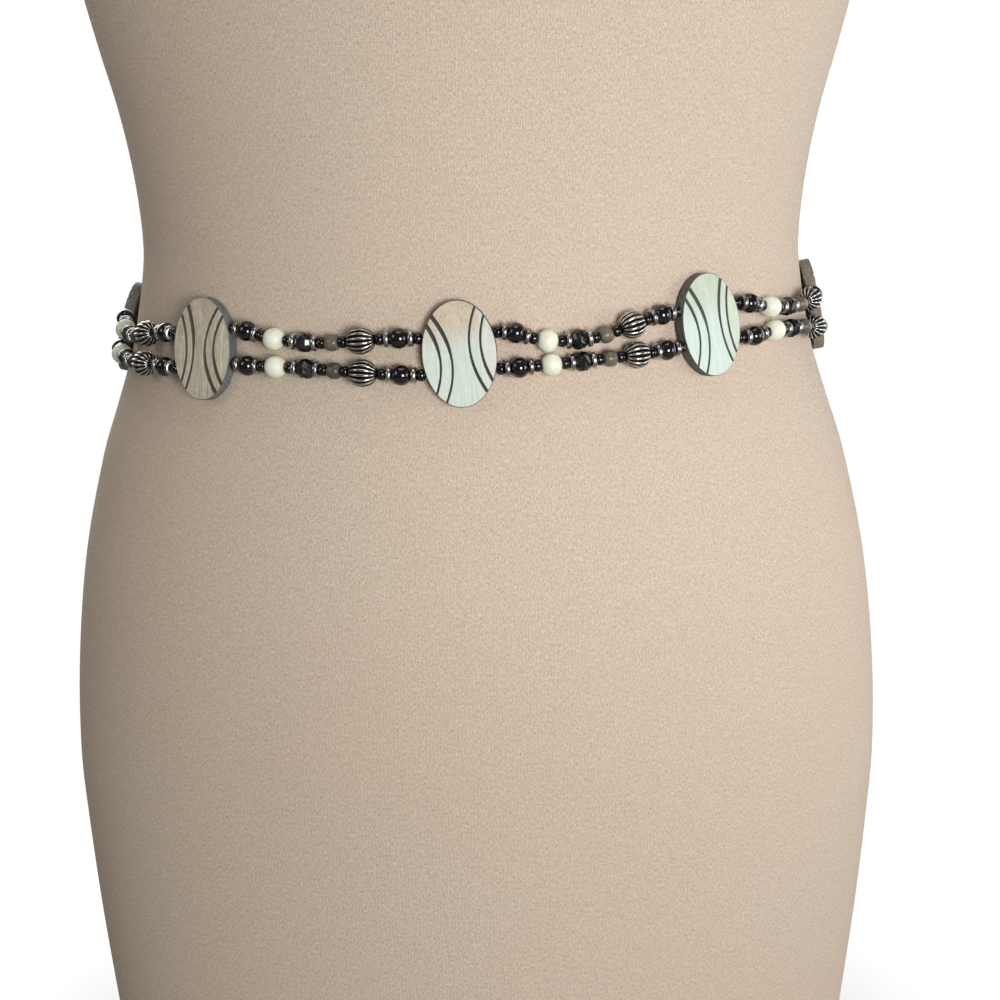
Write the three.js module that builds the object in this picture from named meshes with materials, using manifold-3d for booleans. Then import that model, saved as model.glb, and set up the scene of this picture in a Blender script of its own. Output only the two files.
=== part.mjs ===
// A beaded belt fastened round a limbless dress form.
// Lengths are in millimetres and angles in degrees. The origin is the centre of the form's flat base.
// +Z is up, the front faces -Y and +X is the viewer's right.

import * as THREE from 'three';
import Module from 'manifold-3d';
import { mergeVertices } from 'three/addons/utils/BufferGeometryUtils.js';

const wasm = await Module();
wasm.setup();

// The dress form: half width, and depth in front of and behind the middle plane, at each height.
const FORM_ROWS = [
  { z: 0, half: 173.2, front: 102, back: 103 },
  { z: 40, half: 177, front: 104, back: 108 },
  { z: 90, half: 181.4, front: 107, back: 116 },
  { z: 140, half: 184.4, front: 111, back: 124 },
  { z: 170, half: 185.2, front: 114, back: 128 },
  { z: 215, half: 182.4, front: 119, back: 131 },
  { z: 265, half: 175.4, front: 122, back: 126 },
  { z: 310, half: 164.4, front: 120, back: 116 },
  { z: 333, half: 156.4, front: 117.6, back: 110 },
  { z: 355, half: 149, front: 114.7, back: 105.5 },
  { z: 370, half: 145.6, front: 113, back: 103 },
  { z: 385, half: 142.8, front: 111.2, back: 101 },
  { z: 400, half: 141.2, front: 109.7, back: 99 },
  { z: 420, half: 142.2, front: 108.7, back: 97.5 },
  { z: 440, half: 144.8, front: 108.6, back: 97 },
  { z: 460, half: 148.8, front: 109.5, back: 98 },
  { z: 480, half: 154, front: 111, back: 100 },
  { z: 510, half: 161, front: 113.5, back: 103 },
  { z: 540, half: 166.5, front: 116, back: 106.5 },
  { z: 580, half: 171, front: 118, back: 110.5 },
  { z: 620, half: 173.5, front: 116.5, back: 113 },
  { z: 665, half: 175.3, front: 109.3, back: 112 },
  { z: 705, half: 176, front: 98, back: 106 },
  { z: 735, half: 172, front: 87, back: 97 },
  { z: 755, half: 160, front: 79, back: 88 },
  { z: 772, half: 138, front: 71, back: 79 },
  { z: 786, half: 108, front: 63, back: 71 },
  { z: 798, half: 81, front: 57, back: 64 },
  { z: 812, half: 64, front: 53.5, back: 59 },
  { z: 832, half: 56.5, front: 52, back: 56.5 },
  { z: 862, half: 54, front: 51, back: 55 },
];
const FORM_SIDES = 40;
const BASE_EDGE = 6;
const NECK_EDGE = 8;
const BUST = { out: 17, height: 582, reachX: 124, reachZ: 62 };
const FORM_RINGS = [
  0, 1.8, 6, 50, 95, 140, 180, 220, 255, 285, 310, 330, 345, 357, 369, 381, 393, 406, 425, 450, 480, 510, 540,
  568, 596, 628, 665, 700, 728, 750, 767, 782, 795, 810, 832, 854, 859.7, 862,
];

// The belt: its level, the steps for measuring along it, and the clearances that part its pieces.
const BELT_LEVEL = 370;
const MEASURE = { lift: 4, steps: 1440, angleStep: 0.001, threadStep: 0.5 };
const GAP = 0.4;
const END_GAP = 0.8;

// The oval medallions, numbered along the belt from the back left round the front to the back right.
// place is measured from the front's middle, height from the belt's level, and lean tips the top to the left.
// turn swings the right side out from the form, and drill is the rise of the two thread holes to the right.
const MEDALLION = { halfWidth: 14, halfHeight: 20, thickness: 4.7, holeHeight: 6.9, sides: 40 };
const SEAT_TEST = { insets: [0, 2.5, 5, 7.5, 10], passes: 4 };
const MEDALLION_ROWS = [
  { place: -322, height: -3, lean: 0, turn: 0, drill: 0, grooveShift: 0.4 },
  { place: -217.5, height: -8.5, lean: 3, turn: 0, drill: 0, grooveShift: -0.8 },
  { place: -110.2, height: -2.6, lean: 3.5, turn: -6, drill: 6, grooveShift: -1.6 },
  { place: -3, height: 0.3, lean: 4.6, turn: 0, drill: 0, grooveShift: 0 },
  { place: 98.6, height: 6.2, lean: 5.2, turn: 0, drill: -3, grooveShift: 0.4 },
  { place: 208.5, height: 0.8, lean: 2, turn: 0, drill: 0, grooveShift: -0.3 },
  { place: 315, height: 0.3, lean: 0, turn: 0, drill: 0, grooveShift: 0.6 },
];

// The carved lines on a medallion: place across it, height of the bend, and the bow at a set span from there.
const GROOVE = { width: 1, depth: 0.6, steps: 8, reach: 21, bowSpan: 15, above: 0.4 };
const GROOVE_ROWS = [
  { place: -7.3, bend: -3, bow: -4.4 },
  { place: -3, bend: -4, bow: -4 },
  { place: 3.9, bend: 3, bow: 3.7 },
  { place: 8.1, bend: 3, bow: 4 },
];

// The beads: length along the thread, diameter, and rings as [place in lengths, share of the radius].
// A bead with rests true is big enough to lie on the form; the others hang on the thread between.
const BEADS = {
  small: { length: 3, diameter: 4.7, rings: [[-0.3, 0.93], [0.3, 0.93]], rests: false },
  disc: { length: 2.1, diameter: 6.5, rings: [[-0.4, 1], [0.4, 1]], rests: false },
  round: { length: 6.8, diameter: 7.9, rings: [[-0.4, 0.64], [0, 1], [0.4, 0.64]], rests: true },
  pale: { length: 7.9, diameter: 8.6, rings: [[-0.4, 0.66], [0, 1], [0.4, 0.66]], rests: true },
  cut: { length: 6.6, diameter: 7.7, rings: [[-0.42, 0.72], [0, 1], [0.42, 0.72]], rests: true },
  barrel: { length: 5.4, diameter: 6.4, rings: [[-0.35, 0.95], [0.35, 0.95]], rests: false },
  melon: { length: 10.4, diameter: 10.4, rings: [[-0.4, 0.64], [0, 1], [0.4, 0.64]], rests: true },
};
const BEAD_SIDES = 8;
const THREAD_END_RADIUS = 1.2;
const RUN_START = ['small', 'disc', 'round', 'disc', 'small'];
const RUN_MIDDLE = ['pale', 'small', 'disc', 'cut', 'disc', 'small', 'barrel', 'small'];
const FULL_RUN = [...RUN_START, ...RUN_MIDDLE, 'melon', ...RUN_START];
const END_RUN = [...RUN_START, ...RUN_MIDDLE, ...RUN_START.slice(1)];

// How far the strands of each section rise above the straight line between their holes; most of them sag.
const SECTION_ROWS = [
  { upper: -3, lower: 0.5 },
  { upper: -4, lower: 0.8 },
  { upper: -4.5, lower: -1 },
  { upper: -3, lower: 0.8 },
  { upper: -5.6, lower: 0 },
  { upper: -2.6, lower: 2.2 },
  { upper: -4, lower: 0.8 },
  { upper: -3, lower: 0.5 },
];

// The share of that sag at places along a section.
const SAG_ROWS = [
  { at: 0, share: 0 },
  { at: 0.09, share: 0.12 },
  { at: 0.25, share: 0.85 },
  { at: 0.41, share: 1 },
  { at: 0.55, share: 0.95 },
  { at: 0.7, share: 0.5 },
  { at: 0.88, share: 0.08 },
  { at: 1, share: 0 },
];
const END_FADE = 7;

// The fastening at the centre back: a bar that holds both strands on each side, a ring and a hook.
const FASTENING = { halfLength: 17.6, lift: 3.2, wire: 0.8, sides: 6, height: -0.3 };
const BAR = { length: 3.5, height: 16, thickness: 3, bevel: 0.5, holeHeight: 5.4 };
const EYE = { radius: 2.1, reach: 2.5, steps: 12 };
const RING = { radius: 5.2, reach: 7.9, steps: 24 };
const HOOK = { radius: 2.1, reach: 13.3, tip: 3.6, shank: 4.6, slope: 3.5, arcSteps: 6 };

const FORM_CLOTH = new THREE.MeshStandardMaterial({ color: 0xd3bfac, roughness: 0.92, metalness: 0 });
const PAINTED_WOOD = new THREE.MeshStandardMaterial({ color: 0xc3ccbd, roughness: 0.55, metalness: 0 });
const STRUNG_BEADS = new THREE.MeshStandardMaterial({ color: 0x2b2b2c, roughness: 0.25, metalness: 0.3 });
const DARK_METAL = new THREE.MeshStandardMaterial({ color: 0x6f6c68, roughness: 0.35, metalness: 1 });

function radians(degrees) {
  return THREE.MathUtils.degToRad(degrees);
}

// Smooth curve through a table's rows: cubic pieces whose slope at a row is that between its neighbours.
function smoothColumn(rows, key, column, value) {
  const last = rows.length - 1;
  let low = 0;
  while (low < last - 1 && rows[low + 1][key] <= value) {
    low += 1;
  }
  const slopeAt = (index) => {
    const before = rows[Math.max(index - 1, 0)];
    const after = rows[Math.min(index + 1, last)];
    return (after[column] - before[column]) / (after[key] - before[key]);
  };
  const start = rows[low];
  const end = rows[low + 1];
  const span = end[key] - start[key];
  const t = (value - start[key]) / span;
  const square = t * t;
  const cube = square * t;
  return start[column] * (2 * cube - 3 * square + 1) + span * slopeAt(low) * (cube - 2 * square + t)
    + end[column] * (3 * square - 2 * cube) + span * slopeAt(low + 1) * (cube - square);
}

// How far a rounded edge of the given radius draws the outline in, at a distance from the flat face.
function edgeInset(radius, distance) {
  if (distance >= radius) {
    return 0;
  }
  const rise = radius - distance;
  return radius - Math.sqrt(radius * radius - rise * rise);
}

// A point of the form's surface. The angle is 0 at the front's middle and grows towards +X.
// Each section is an oval of its own depth in front and behind, and the bust is one broad swelling.
function formPoint(angle, z) {
  const top = FORM_ROWS[FORM_ROWS.length - 1].z;
  const inset = edgeInset(BASE_EDGE, z) + edgeInset(NECK_EDGE, top - z);
  const half = smoothColumn(FORM_ROWS, 'z', 'half', z) - inset;
  const facing = Math.cos(angle);
  const depth = smoothColumn(FORM_ROWS, 'z', facing > 0 ? 'front' : 'back', z) - inset;
  const x = half * Math.sin(angle);
  let y = -depth * facing;
  if (facing > 0) {
    const across = x / BUST.reachX;
    const along = (z - BUST.height) / BUST.reachZ;
    y -= BUST.out * Math.sqrt(facing) * Math.exp(-(across ** 4) - along * along);
  }
  return new THREE.Vector3(x, y, z);
}

// The outward direction of the form's surface there.
function formNormal(angle, z) {
  const step = MEASURE.angleStep;
  const around = formPoint(angle + step, z).sub(formPoint(angle - step, z));
  const upward = formPoint(angle, z + step).sub(formPoint(angle, z - step));
  return around.cross(upward).normalize();
}

// Places along the belt: distances round the form at the belt's level, against the angle.
function measureBelt() {
  const count = MEASURE.steps;
  const rows = [];
  let previous = null;
  let distance = 0;
  for (let i = 0; i <= count; i += 1) {
    const angle = -Math.PI + (2 * Math.PI * i) / count;
    const flat = formNormal(angle, BELT_LEVEL).setZ(0).normalize();
    const point = formPoint(angle, BELT_LEVEL).addScaledVector(flat, MEASURE.lift);
    distance += previous ? point.distanceTo(previous) : 0;
    rows.push({ angle, distance });
    previous = point;
  }
  const front = rows[count / 2].distance;
  return { rows, front, length: distance };
}

const BELT_LINE = measureBelt();

function angleAtPlace(place) {
  const { rows, front, length } = BELT_LINE;
  const wrapped = THREE.MathUtils.euclideanModulo(place + front, length);
  let low = 0;
  let high = rows.length - 1;
  while (high - low > 1) {
    const middle = (low + high) >> 1;
    if (rows[middle].distance <= wrapped) {
      low = middle;
    } else {
      high = middle;
    }
  }
  const share = (wrapped - rows[low].distance) / (rows[high].distance - rows[low].distance);
  return THREE.MathUtils.lerp(rows[low].angle, rows[high].angle, share);
}

// A frame on the form at a place along the belt: out of the surface, along the belt and up the surface.
function beltFrame(place, height, lift) {
  const angle = angleAtPlace(place);
  const z = BELT_LEVEL + height;
  const out = formNormal(angle, z);
  const along = new THREE.Vector3(0, 0, 1).cross(out).normalize();
  const up = out.clone().cross(along);
  const origin = formPoint(angle, z).addScaledVector(out, lift);
  return { origin, out, along, up };
}

// The same frame tipped about its outward direction, so that its top leans towards the left.
function leaningFrame(frame, degrees) {
  const cos = Math.cos(radians(degrees));
  const sin = Math.sin(radians(degrees));
  const along = frame.along.clone().multiplyScalar(cos).addScaledVector(frame.up, sin);
  const up = frame.up.clone().multiplyScalar(cos).addScaledVector(frame.along, -sin);
  return { origin: frame.origin, out: frame.out, along, up };
}

// The same frame swung about its upward direction, so that its right side stands out.
function turnedFrame(frame, degrees) {
  const cos = Math.cos(radians(degrees));
  const sin = Math.sin(radians(degrees));
  const along = frame.along.clone().multiplyScalar(cos).addScaledVector(frame.out, sin);
  const out = frame.out.clone().multiplyScalar(cos).addScaledVector(frame.along, -sin);
  return { origin: frame.origin, out, along, up: frame.up };
}

function frameToWorld(frame, along, up, out) {
  return frame.origin.clone()
    .addScaledVector(frame.along, along)
    .addScaledVector(frame.up, up)
    .addScaledVector(frame.out, out);
}

// Moves a geometry drawn in a frame's along, up and out directions to that frame.
function placeInFrame(geometry, frame) {
  const basis = new THREE.Matrix4().makeBasis(frame.along, frame.up, frame.out).setPosition(frame.origin);
  return geometry.applyMatrix4(basis);
}

// How far a point lies outside the form, from the oval section at its height.
function clearanceOfForm(point) {
  const half = smoothColumn(FORM_ROWS, 'z', 'half', point.z);
  const depth = smoothColumn(FORM_ROWS, 'z', point.y < 0 ? 'front' : 'back', point.z);
  const level = Math.hypot(point.x / half, point.y / depth);
  const slope = Math.hypot(point.x / (half * half), point.y / (depth * depth)) / level;
  return (level - 1) / slope;
}

// A closed body through rings of points that run anticlockwise seen from the last ring.
function ringBody(rings) {
  const sides = rings[0].length;
  const positions = rings.flat().flatMap((point) => point.toArray());
  const faces = [];
  for (let i = 0; i < rings.length - 1; i += 1) {
    for (let j = 0; j < sides; j += 1) {
      const next = (j + 1) % sides;
      const a = i * sides + j;
      const b = i * sides + next;
      const c = (i + 1) * sides + next;
      const d = (i + 1) * sides + j;
      faces.push(a, b, c, a, c, d);
    }
  }
  const top = (rings.length - 1) * sides;
  for (let j = 1; j < sides - 1; j += 1) {
    faces.push(0, j + 1, j);
    faces.push(top, top + j, top + j + 1);
  }
  const geometry = new THREE.BufferGeometry();
  geometry.setAttribute('position', new THREE.Float32BufferAttribute(positions, 3));
  geometry.setIndex(faces);
  return geometry;
}

function toSolid(geometry) {
  const bare = geometry.clone();
  bare.deleteAttribute('normal');
  bare.deleteAttribute('uv');
  const merged = mergeVertices(bare, 1e-4);
  const vertProperties = new Float32Array(merged.attributes.position.array);
  const triVerts = new Uint32Array(merged.index.array);
  return new wasm.Manifold(new wasm.Mesh({ numProp: 3, vertProperties, triVerts }));
}

function toGeometry(solid) {
  const mesh = solid.getMesh();
  const geometry = new THREE.BufferGeometry();
  geometry.setAttribute('position', new THREE.BufferAttribute(mesh.vertProperties, mesh.numProp));
  geometry.setIndex(new THREE.BufferAttribute(mesh.triVerts, 1));
  return geometry;
}

function dressFormGeometry() {
  const ringAt = (z) => Array.from(
    { length: FORM_SIDES },
    (_, side) => formPoint((2 * Math.PI * side) / FORM_SIDES, z),
  );
  return ringBody(FORM_RINGS.map(ringAt));
}

// The medallion's oval outline, or one inset from it.
function medallionOutline(inset = 0) {
  return Array.from({ length: MEDALLION.sides }, (_, side) => {
    const angle = (2 * Math.PI * side) / MEDALLION.sides;
    const along = (MEDALLION.halfWidth - inset) * Math.cos(angle);
    const up = (MEDALLION.halfHeight - inset) * Math.sin(angle);
    return new THREE.Vector2(along, up);
  });
}

// The frame of a medallion's back face, lifted until its rim and its middle clear the form.
function seatedMedallion(row) {
  const frame = turnedFrame(leaningFrame(beltFrame(row.place, row.height, 0), row.lean), row.turn);
  const underside = SEAT_TEST.insets.flatMap((inset) => medallionOutline(inset));
  underside.push(new THREE.Vector2(0, 0));
  for (let pass = 0; pass < SEAT_TEST.passes; pass += 1) {
    const least = Math.min(...underside.map(
      (point) => clearanceOfForm(frameToWorld(frame, point.x, point.y, 0)),
    ));
    frame.origin.addScaledVector(frame.out, GAP - least);
  }
  return frame;
}

// One carved line as a V-shaped cutter, in the medallion's own along, up and out directions.
function grooveCutter(groove, shift) {
  const topHalf = (GROOVE.width / 2) * (1 + GROOVE.above / GROOVE.depth);
  const rings = [];
  for (let i = 0; i <= GROOVE.steps; i += 1) {
    const up = THREE.MathUtils.lerp(-GROOVE.reach, GROOVE.reach, i / GROOVE.steps);
    const share = (up - groove.bend) / GROOVE.bowSpan;
    const along = groove.place + shift + groove.bow * share * share;
    const face = MEDALLION.thickness;
    rings.push([
      new THREE.Vector3(along + topHalf, up, face + GROOVE.above),
      new THREE.Vector3(along, up, face - GROOVE.depth),
      new THREE.Vector3(along - topHalf, up, face + GROOVE.above),
    ]);
  }
  return toSolid(ringBody(rings));
}

function medallionGeometry(row, frame) {
  const outline = medallionOutline();
  const plate = ringBody([0, MEDALLION.thickness].map(
    (out) => outline.map((point) => new THREE.Vector3(point.x, point.y, out)),
  ));
  let solid = toSolid(plate);
  for (const groove of GROOVE_ROWS) {
    solid = solid.subtract(grooveCutter(groove, row.grooveShift));
  }
  return placeInFrame(toGeometry(solid), frame);
}

// Where a thread leaves a medallion: level is 1 for the upper hole and -1 for the lower, side 1 towards +X.
function medallionHole(row, frame, level, side) {
  const up = level * MEDALLION.holeHeight + side * MEDALLION.halfWidth * Math.tan(radians(row.drill));
  const share = up / MEDALLION.halfHeight;
  const reach = side * (MEDALLION.halfWidth * Math.sqrt(1 - share * share) + END_GAP);
  const cos = Math.cos(radians(row.lean));
  const sin = Math.sin(radians(row.lean));
  return {
    point: frameToWorld(frame, reach, up, MEDALLION.thickness / 2),
    place: row.place + reach * cos - up * sin,
    height: row.height + reach * sin + up * cos,
  };
}

function barHole(fastening, level, side) {
  const reach = side * (FASTENING.halfLength + END_GAP);
  return {
    point: frameToWorld(fastening.frame, reach, level * BAR.holeHeight, FASTENING.lift),
    place: fastening.place + reach,
    height: FASTENING.height + level * BAR.holeHeight,
  };
}

// The beads of a strand set out along it, all stretched alike so that they fill it from hole to hole.
function setOutBeads(names, start, end) {
  const nominal = names.reduce((sum, name) => sum + BEADS[name].length, 0);
  const scale = (end - start) / nominal;
  let edge = start;
  return names.map((name) => {
    const length = BEADS[name].length * scale;
    const bead = { name, middle: edge + length / 2, length };
    edge += length;
    return bead;
  });
}

// The thread's height above the form: it runs straight from one resting bead to the next.
// The disc next to each hole rests too, because the thread dips there.
function threadLift(beads, start, end, endLift, place) {
  const knots = [{ at: start, lift: endLift }];
  beads.forEach((bead, index) => {
    const nextToHole = index === 1 || index === beads.length - 2;
    if (BEADS[bead.name].rests || nextToHole) {
      knots.push({ at: bead.middle, lift: BEADS[bead.name].diameter / 2 + GAP });
    }
  });
  knots.push({ at: end, lift: endLift });
  const within = THREE.MathUtils.clamp(place, start, end);
  const after = Math.max(knots.findIndex((knot) => knot.at >= within), 1);
  const before = knots[after - 1];
  const share = THREE.MathUtils.smoothstep(within, before.at, knots[after].at);
  return THREE.MathUtils.lerp(before.lift, knots[after].lift, share);
}

// One strand of beads between two holes, as rings square to its thread.
function strandGeometry(names, from, to, sag) {
  const beads = setOutBeads(names, from.place, to.place);
  const endLift = MEDALLION.thickness / 2 + GAP;
  const surfaceAt = (place) => {
    const share = (place - from.place) / (to.place - from.place);
    const bow = sag * smoothColumn(SAG_ROWS, 'at', 'share', THREE.MathUtils.clamp(share, 0, 1));
    const height = THREE.MathUtils.lerp(from.height, to.height, share) + bow;
    return beltFrame(place, height, threadLift(beads, from.place, to.place, endLift, place));
  };
  const startMiss = from.point.clone().sub(surfaceAt(from.place).origin);
  const endMiss = to.point.clone().sub(surfaceAt(to.place).origin);
  const threadAt = (place) => {
    const fromStart = (place - from.place) / END_FADE;
    const fromEnd = (to.place - place) / END_FADE;
    return surfaceAt(place).origin
      .addScaledVector(startMiss, Math.exp(-fromStart * fromStart))
      .addScaledVector(endMiss, Math.exp(-fromEnd * fromEnd));
  };
  const ringAt = (place, radius) => {
    const step = MEASURE.threadStep;
    const forward = threadAt(place + step).sub(threadAt(place - step)).normalize();
    const out = surfaceAt(place).out;
    out.addScaledVector(forward, -out.dot(forward)).normalize();
    const across = forward.clone().cross(out);
    const middle = threadAt(place);
    return Array.from({ length: BEAD_SIDES }, (_, side) => {
      const angle = (2 * Math.PI * side) / BEAD_SIDES;
      return middle.clone()
        .addScaledVector(out, radius * Math.cos(angle))
        .addScaledVector(across, radius * Math.sin(angle));
    });
  };
  const rings = [ringAt(from.place, THREAD_END_RADIUS)];
  for (const bead of beads) {
    for (const [at, share] of BEADS[bead.name].rings) {
      const radius = (BEADS[bead.name].diameter / 2) * share;
      rings.push(ringAt(bead.middle + at * bead.length, radius));
    }
  }
  rings.push(ringAt(to.place, THREAD_END_RADIUS));
  return ringBody(rings);
}

// A torus whose axis is the up direction of the fastening's frame, or its out direction.
function wireRing(frame, radius, reach, steps, axis) {
  const torus = new THREE.TorusGeometry(radius, FASTENING.wire, FASTENING.sides, steps);
  if (axis === 'up') {
    torus.rotateX(Math.PI / 2);
  }
  torus.translate(reach, 0, FASTENING.lift);
  return placeInFrame(torus, frame);
}

// A bar with bevelled edges that stands up the form; its outer end takes the strands.
function barGeometry(frame, side) {
  const inner = BAR.bevel;
  const outline = new THREE.Shape();
  const halfLength = BAR.length / 2 - inner;
  const halfThickness = BAR.thickness / 2 - inner;
  outline.moveTo(-halfLength, -halfThickness);
  outline.lineTo(halfLength, -halfThickness);
  outline.lineTo(halfLength, halfThickness);
  outline.lineTo(-halfLength, halfThickness);
  outline.closePath();
  const bar = new THREE.ExtrudeGeometry(outline, {
    depth: BAR.height - 2 * BAR.bevel,
    bevelThickness: BAR.bevel,
    bevelSize: BAR.bevel,
    bevelSegments: 1,
  });
  bar.translate(0, 0, BAR.bevel - BAR.height / 2);
  bar.rotateX(-Math.PI / 2);
  bar.translate(side * (FASTENING.halfLength - BAR.length / 2), 0, FASTENING.lift);
  return placeInFrame(bar, frame);
}

// The hook's wire: from the bar, up over the ring, round its far side and back under it to the tip.
function hookPath() {
  const start = FASTENING.halfLength - BAR.length / 2;
  const bend = BAR.length - FASTENING.halfLength + HOOK.reach;
  const points = [
    { along: start, out: 0 },
    { along: bend + HOOK.shank + HOOK.slope, out: 0 },
    { along: bend + HOOK.shank + HOOK.slope / 2, out: HOOK.radius / 2 },
    { along: bend + HOOK.shank, out: HOOK.radius },
  ];
  for (let i = 0; i <= HOOK.arcSteps; i += 1) {
    const angle = Math.PI / 2 + (Math.PI * i) / HOOK.arcSteps;
    points.push({ along: bend + HOOK.radius * Math.cos(angle), out: HOOK.radius * Math.sin(angle) });
  }
  points.push({ along: bend + HOOK.tip, out: -HOOK.radius });
  return points.map((point) => new THREE.Vector2(point.along, FASTENING.lift + point.out));
}

function hookGeometry(frame) {
  const path = hookPath();
  const rings = path.map((point, index) => {
    const before = path[Math.max(index - 1, 0)];
    const after = path[Math.min(index + 1, path.length - 1)];
    const forward = after.clone().sub(before).normalize();
    return Array.from({ length: FASTENING.sides }, (_, side) => {
      const angle = (2 * Math.PI * side) / FASTENING.sides;
      const across = FASTENING.wire * Math.cos(angle);
      const up = FASTENING.wire * Math.sin(angle);
      return new THREE.Vector3(point.x - forward.y * across, up, point.y + forward.x * across);
    });
  });
  return placeInFrame(ringBody(rings.reverse()), frame);
}

function joined(first, second) {
  return toGeometry(toSolid(first).add(toSolid(second)));
}

const beltOnForm = new THREE.Group();

function addPiece(name, geometry, material) {
  geometry.computeVertexNormals();
  const mesh = new THREE.Mesh(geometry, material);
  mesh.name = name;
  beltOnForm.add(mesh);
}

addPiece('dress_form', dressFormGeometry(), FORM_CLOTH);

const medallionFrames = MEDALLION_ROWS.map(seatedMedallion);
MEDALLION_ROWS.forEach((row, index) => {
  addPiece(`medallion_${index + 1}`, medallionGeometry(row, medallionFrames[index]), PAINTED_WOOD);
});

const firstPlace = MEDALLION_ROWS[0].place;
const lastPlace = MEDALLION_ROWS[MEDALLION_ROWS.length - 1].place;
const fasteningPlace = (lastPlace + firstPlace + BELT_LINE.length) / 2;
const fastening = { place: fasteningPlace, frame: beltFrame(fasteningPlace, FASTENING.height, 0) };

SECTION_ROWS.forEach((section, index) => {
  const last = SECTION_ROWS.length - 1;
  for (const [side, level] of [['upper', 1], ['lower', -1]]) {
    const turn = BELT_LINE.length;
    const leftBar = barHole(fastening, level, 1);
    const from = index === 0
      ? { ...leftBar, place: leftBar.place - turn }
      : medallionHole(MEDALLION_ROWS[index - 1], medallionFrames[index - 1], level, 1);
    const to = index === last
      ? barHole(fastening, level, -1)
      : medallionHole(MEDALLION_ROWS[index], medallionFrames[index], level, -1);
    let names = FULL_RUN;
    if (index === 0) {
      names = [...END_RUN].reverse();
    } else if (index === last) {
      names = END_RUN;
    }
    addPiece(`strand_${index}_${side}`, strandGeometry(names, from, to, section[side]), STRUNG_BEADS);
  }
});

const eyeReach = BAR.length - FASTENING.halfLength + EYE.reach;
const ringReach = BAR.length - FASTENING.halfLength + RING.reach;
const eye = wireRing(fastening.frame, EYE.radius, eyeReach, EYE.steps, 'up');
addPiece('end_bar_right', joined(barGeometry(fastening.frame, -1), eye), DARK_METAL);
addPiece('fastening_ring', wireRing(fastening.frame, RING.radius, ringReach, RING.steps, 'out'), DARK_METAL);
addPiece('end_bar_left', joined(barGeometry(fastening.frame, 1), hookGeometry(fastening.frame)), DARK_METAL);

export default beltOnForm;
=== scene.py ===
"""A beaded belt fastened round a limbless dress form.

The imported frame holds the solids. Here the form gets its knitted cover, and the belt gets its beads,
threads, carved medallions and fastening as finer surfaces on the same sizes.
Sizes are in millimetres and angles in degrees. A mesh is written in metres.
The front faces -Y, +Z is up, and places along the belt are measured from the front's middle towards +X.
"""

from __future__ import annotations

import logging
import math
from dataclasses import dataclass, field
from enum import Enum
from functools import cached_property
from typing import Mapping, NamedTuple, Sequence

import bpy
import numpy as np
from mathutils import Euler, Matrix, Vector


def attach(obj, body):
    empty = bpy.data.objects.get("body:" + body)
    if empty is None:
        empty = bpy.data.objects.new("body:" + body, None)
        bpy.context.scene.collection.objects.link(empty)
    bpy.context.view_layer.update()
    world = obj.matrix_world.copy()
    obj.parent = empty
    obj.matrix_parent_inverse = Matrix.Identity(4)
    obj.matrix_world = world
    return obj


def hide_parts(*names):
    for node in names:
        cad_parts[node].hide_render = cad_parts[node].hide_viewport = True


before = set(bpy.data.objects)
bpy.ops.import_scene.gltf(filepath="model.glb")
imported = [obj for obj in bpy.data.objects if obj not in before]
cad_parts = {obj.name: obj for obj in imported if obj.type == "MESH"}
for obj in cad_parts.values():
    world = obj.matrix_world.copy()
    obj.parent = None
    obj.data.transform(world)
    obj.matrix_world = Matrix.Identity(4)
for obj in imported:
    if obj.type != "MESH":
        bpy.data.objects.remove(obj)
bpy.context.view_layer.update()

LOG = logging.getLogger("belt")
METRES = 0.001

Array = np.ndarray
Socket = bpy.types.NodeSocket


class Slot(Enum):
    """The record's material slots."""

    FORM_COVER = "form_cover"
    PAINTED_WOOD = "painted_wood"
    BLACK_BEAD = "black_bead"
    PEWTER = "pewter"
    PALE_BEAD = "pale_bead"
    BROWN_BEAD = "brown_bead"
    THREAD = "thread"
    DARK_METAL = "dark_metal"


class FormRow(NamedTuple):
    """One level of the form: its half width, and its depth before and behind the middle plane."""

    z: float
    half: float
    front: float
    back: float


FORM_ROWS = (
    FormRow(0, 173.2, 102, 103),
    FormRow(40, 177, 104, 108),
    FormRow(90, 181.4, 107, 116),
    FormRow(140, 184.4, 111, 124),
    FormRow(170, 185.2, 114, 128),
    FormRow(215, 182.4, 119, 131),
    FormRow(265, 175.4, 122, 126),
    FormRow(310, 164.4, 120, 116),
    FormRow(333, 156.4, 117.6, 110),
    FormRow(355, 149, 114.7, 105.5),
    FormRow(370, 145.6, 113, 103),
    FormRow(385, 142.8, 111.2, 101),
    FormRow(400, 141.2, 109.7, 99),
    FormRow(420, 142.2, 108.7, 97.5),
    FormRow(440, 144.8, 108.6, 97),
    FormRow(460, 148.8, 109.5, 98),
    FormRow(480, 154, 111, 100),
    FormRow(510, 161, 113.5, 103),
    FormRow(540, 166.5, 116, 106.5),
    FormRow(580, 171, 118, 110.5),
    FormRow(620, 173.5, 116.5, 113),
    FormRow(665, 175.3, 109.3, 112),
    FormRow(705, 176, 98, 106),
    FormRow(735, 172, 87, 97),
    FormRow(755, 160, 79, 88),
    FormRow(772, 138, 71, 79),
    FormRow(786, 108, 63, 71),
    FormRow(798, 81, 57, 64),
    FormRow(812, 64, 53.5, 59),
    FormRow(832, 56.5, 52, 56.5),
    FormRow(862, 54, 51, 55),
)


class SagRow(NamedTuple):
    """The share of a strand's sag at a place along its section."""

    at: float
    share: float


SAG_ROWS = (
    SagRow(0, 0),
    SagRow(0.09, 0.12),
    SagRow(0.25, 0.85),
    SagRow(0.41, 1),
    SagRow(0.55, 0.95),
    SagRow(0.7, 0.5),
    SagRow(0.88, 0.08),
    SagRow(1, 0),
)


class Sag(NamedTuple):
    """How far the strands of a section leave the straight line between their holes, up positive."""

    upper: float
    lower: float


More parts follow.
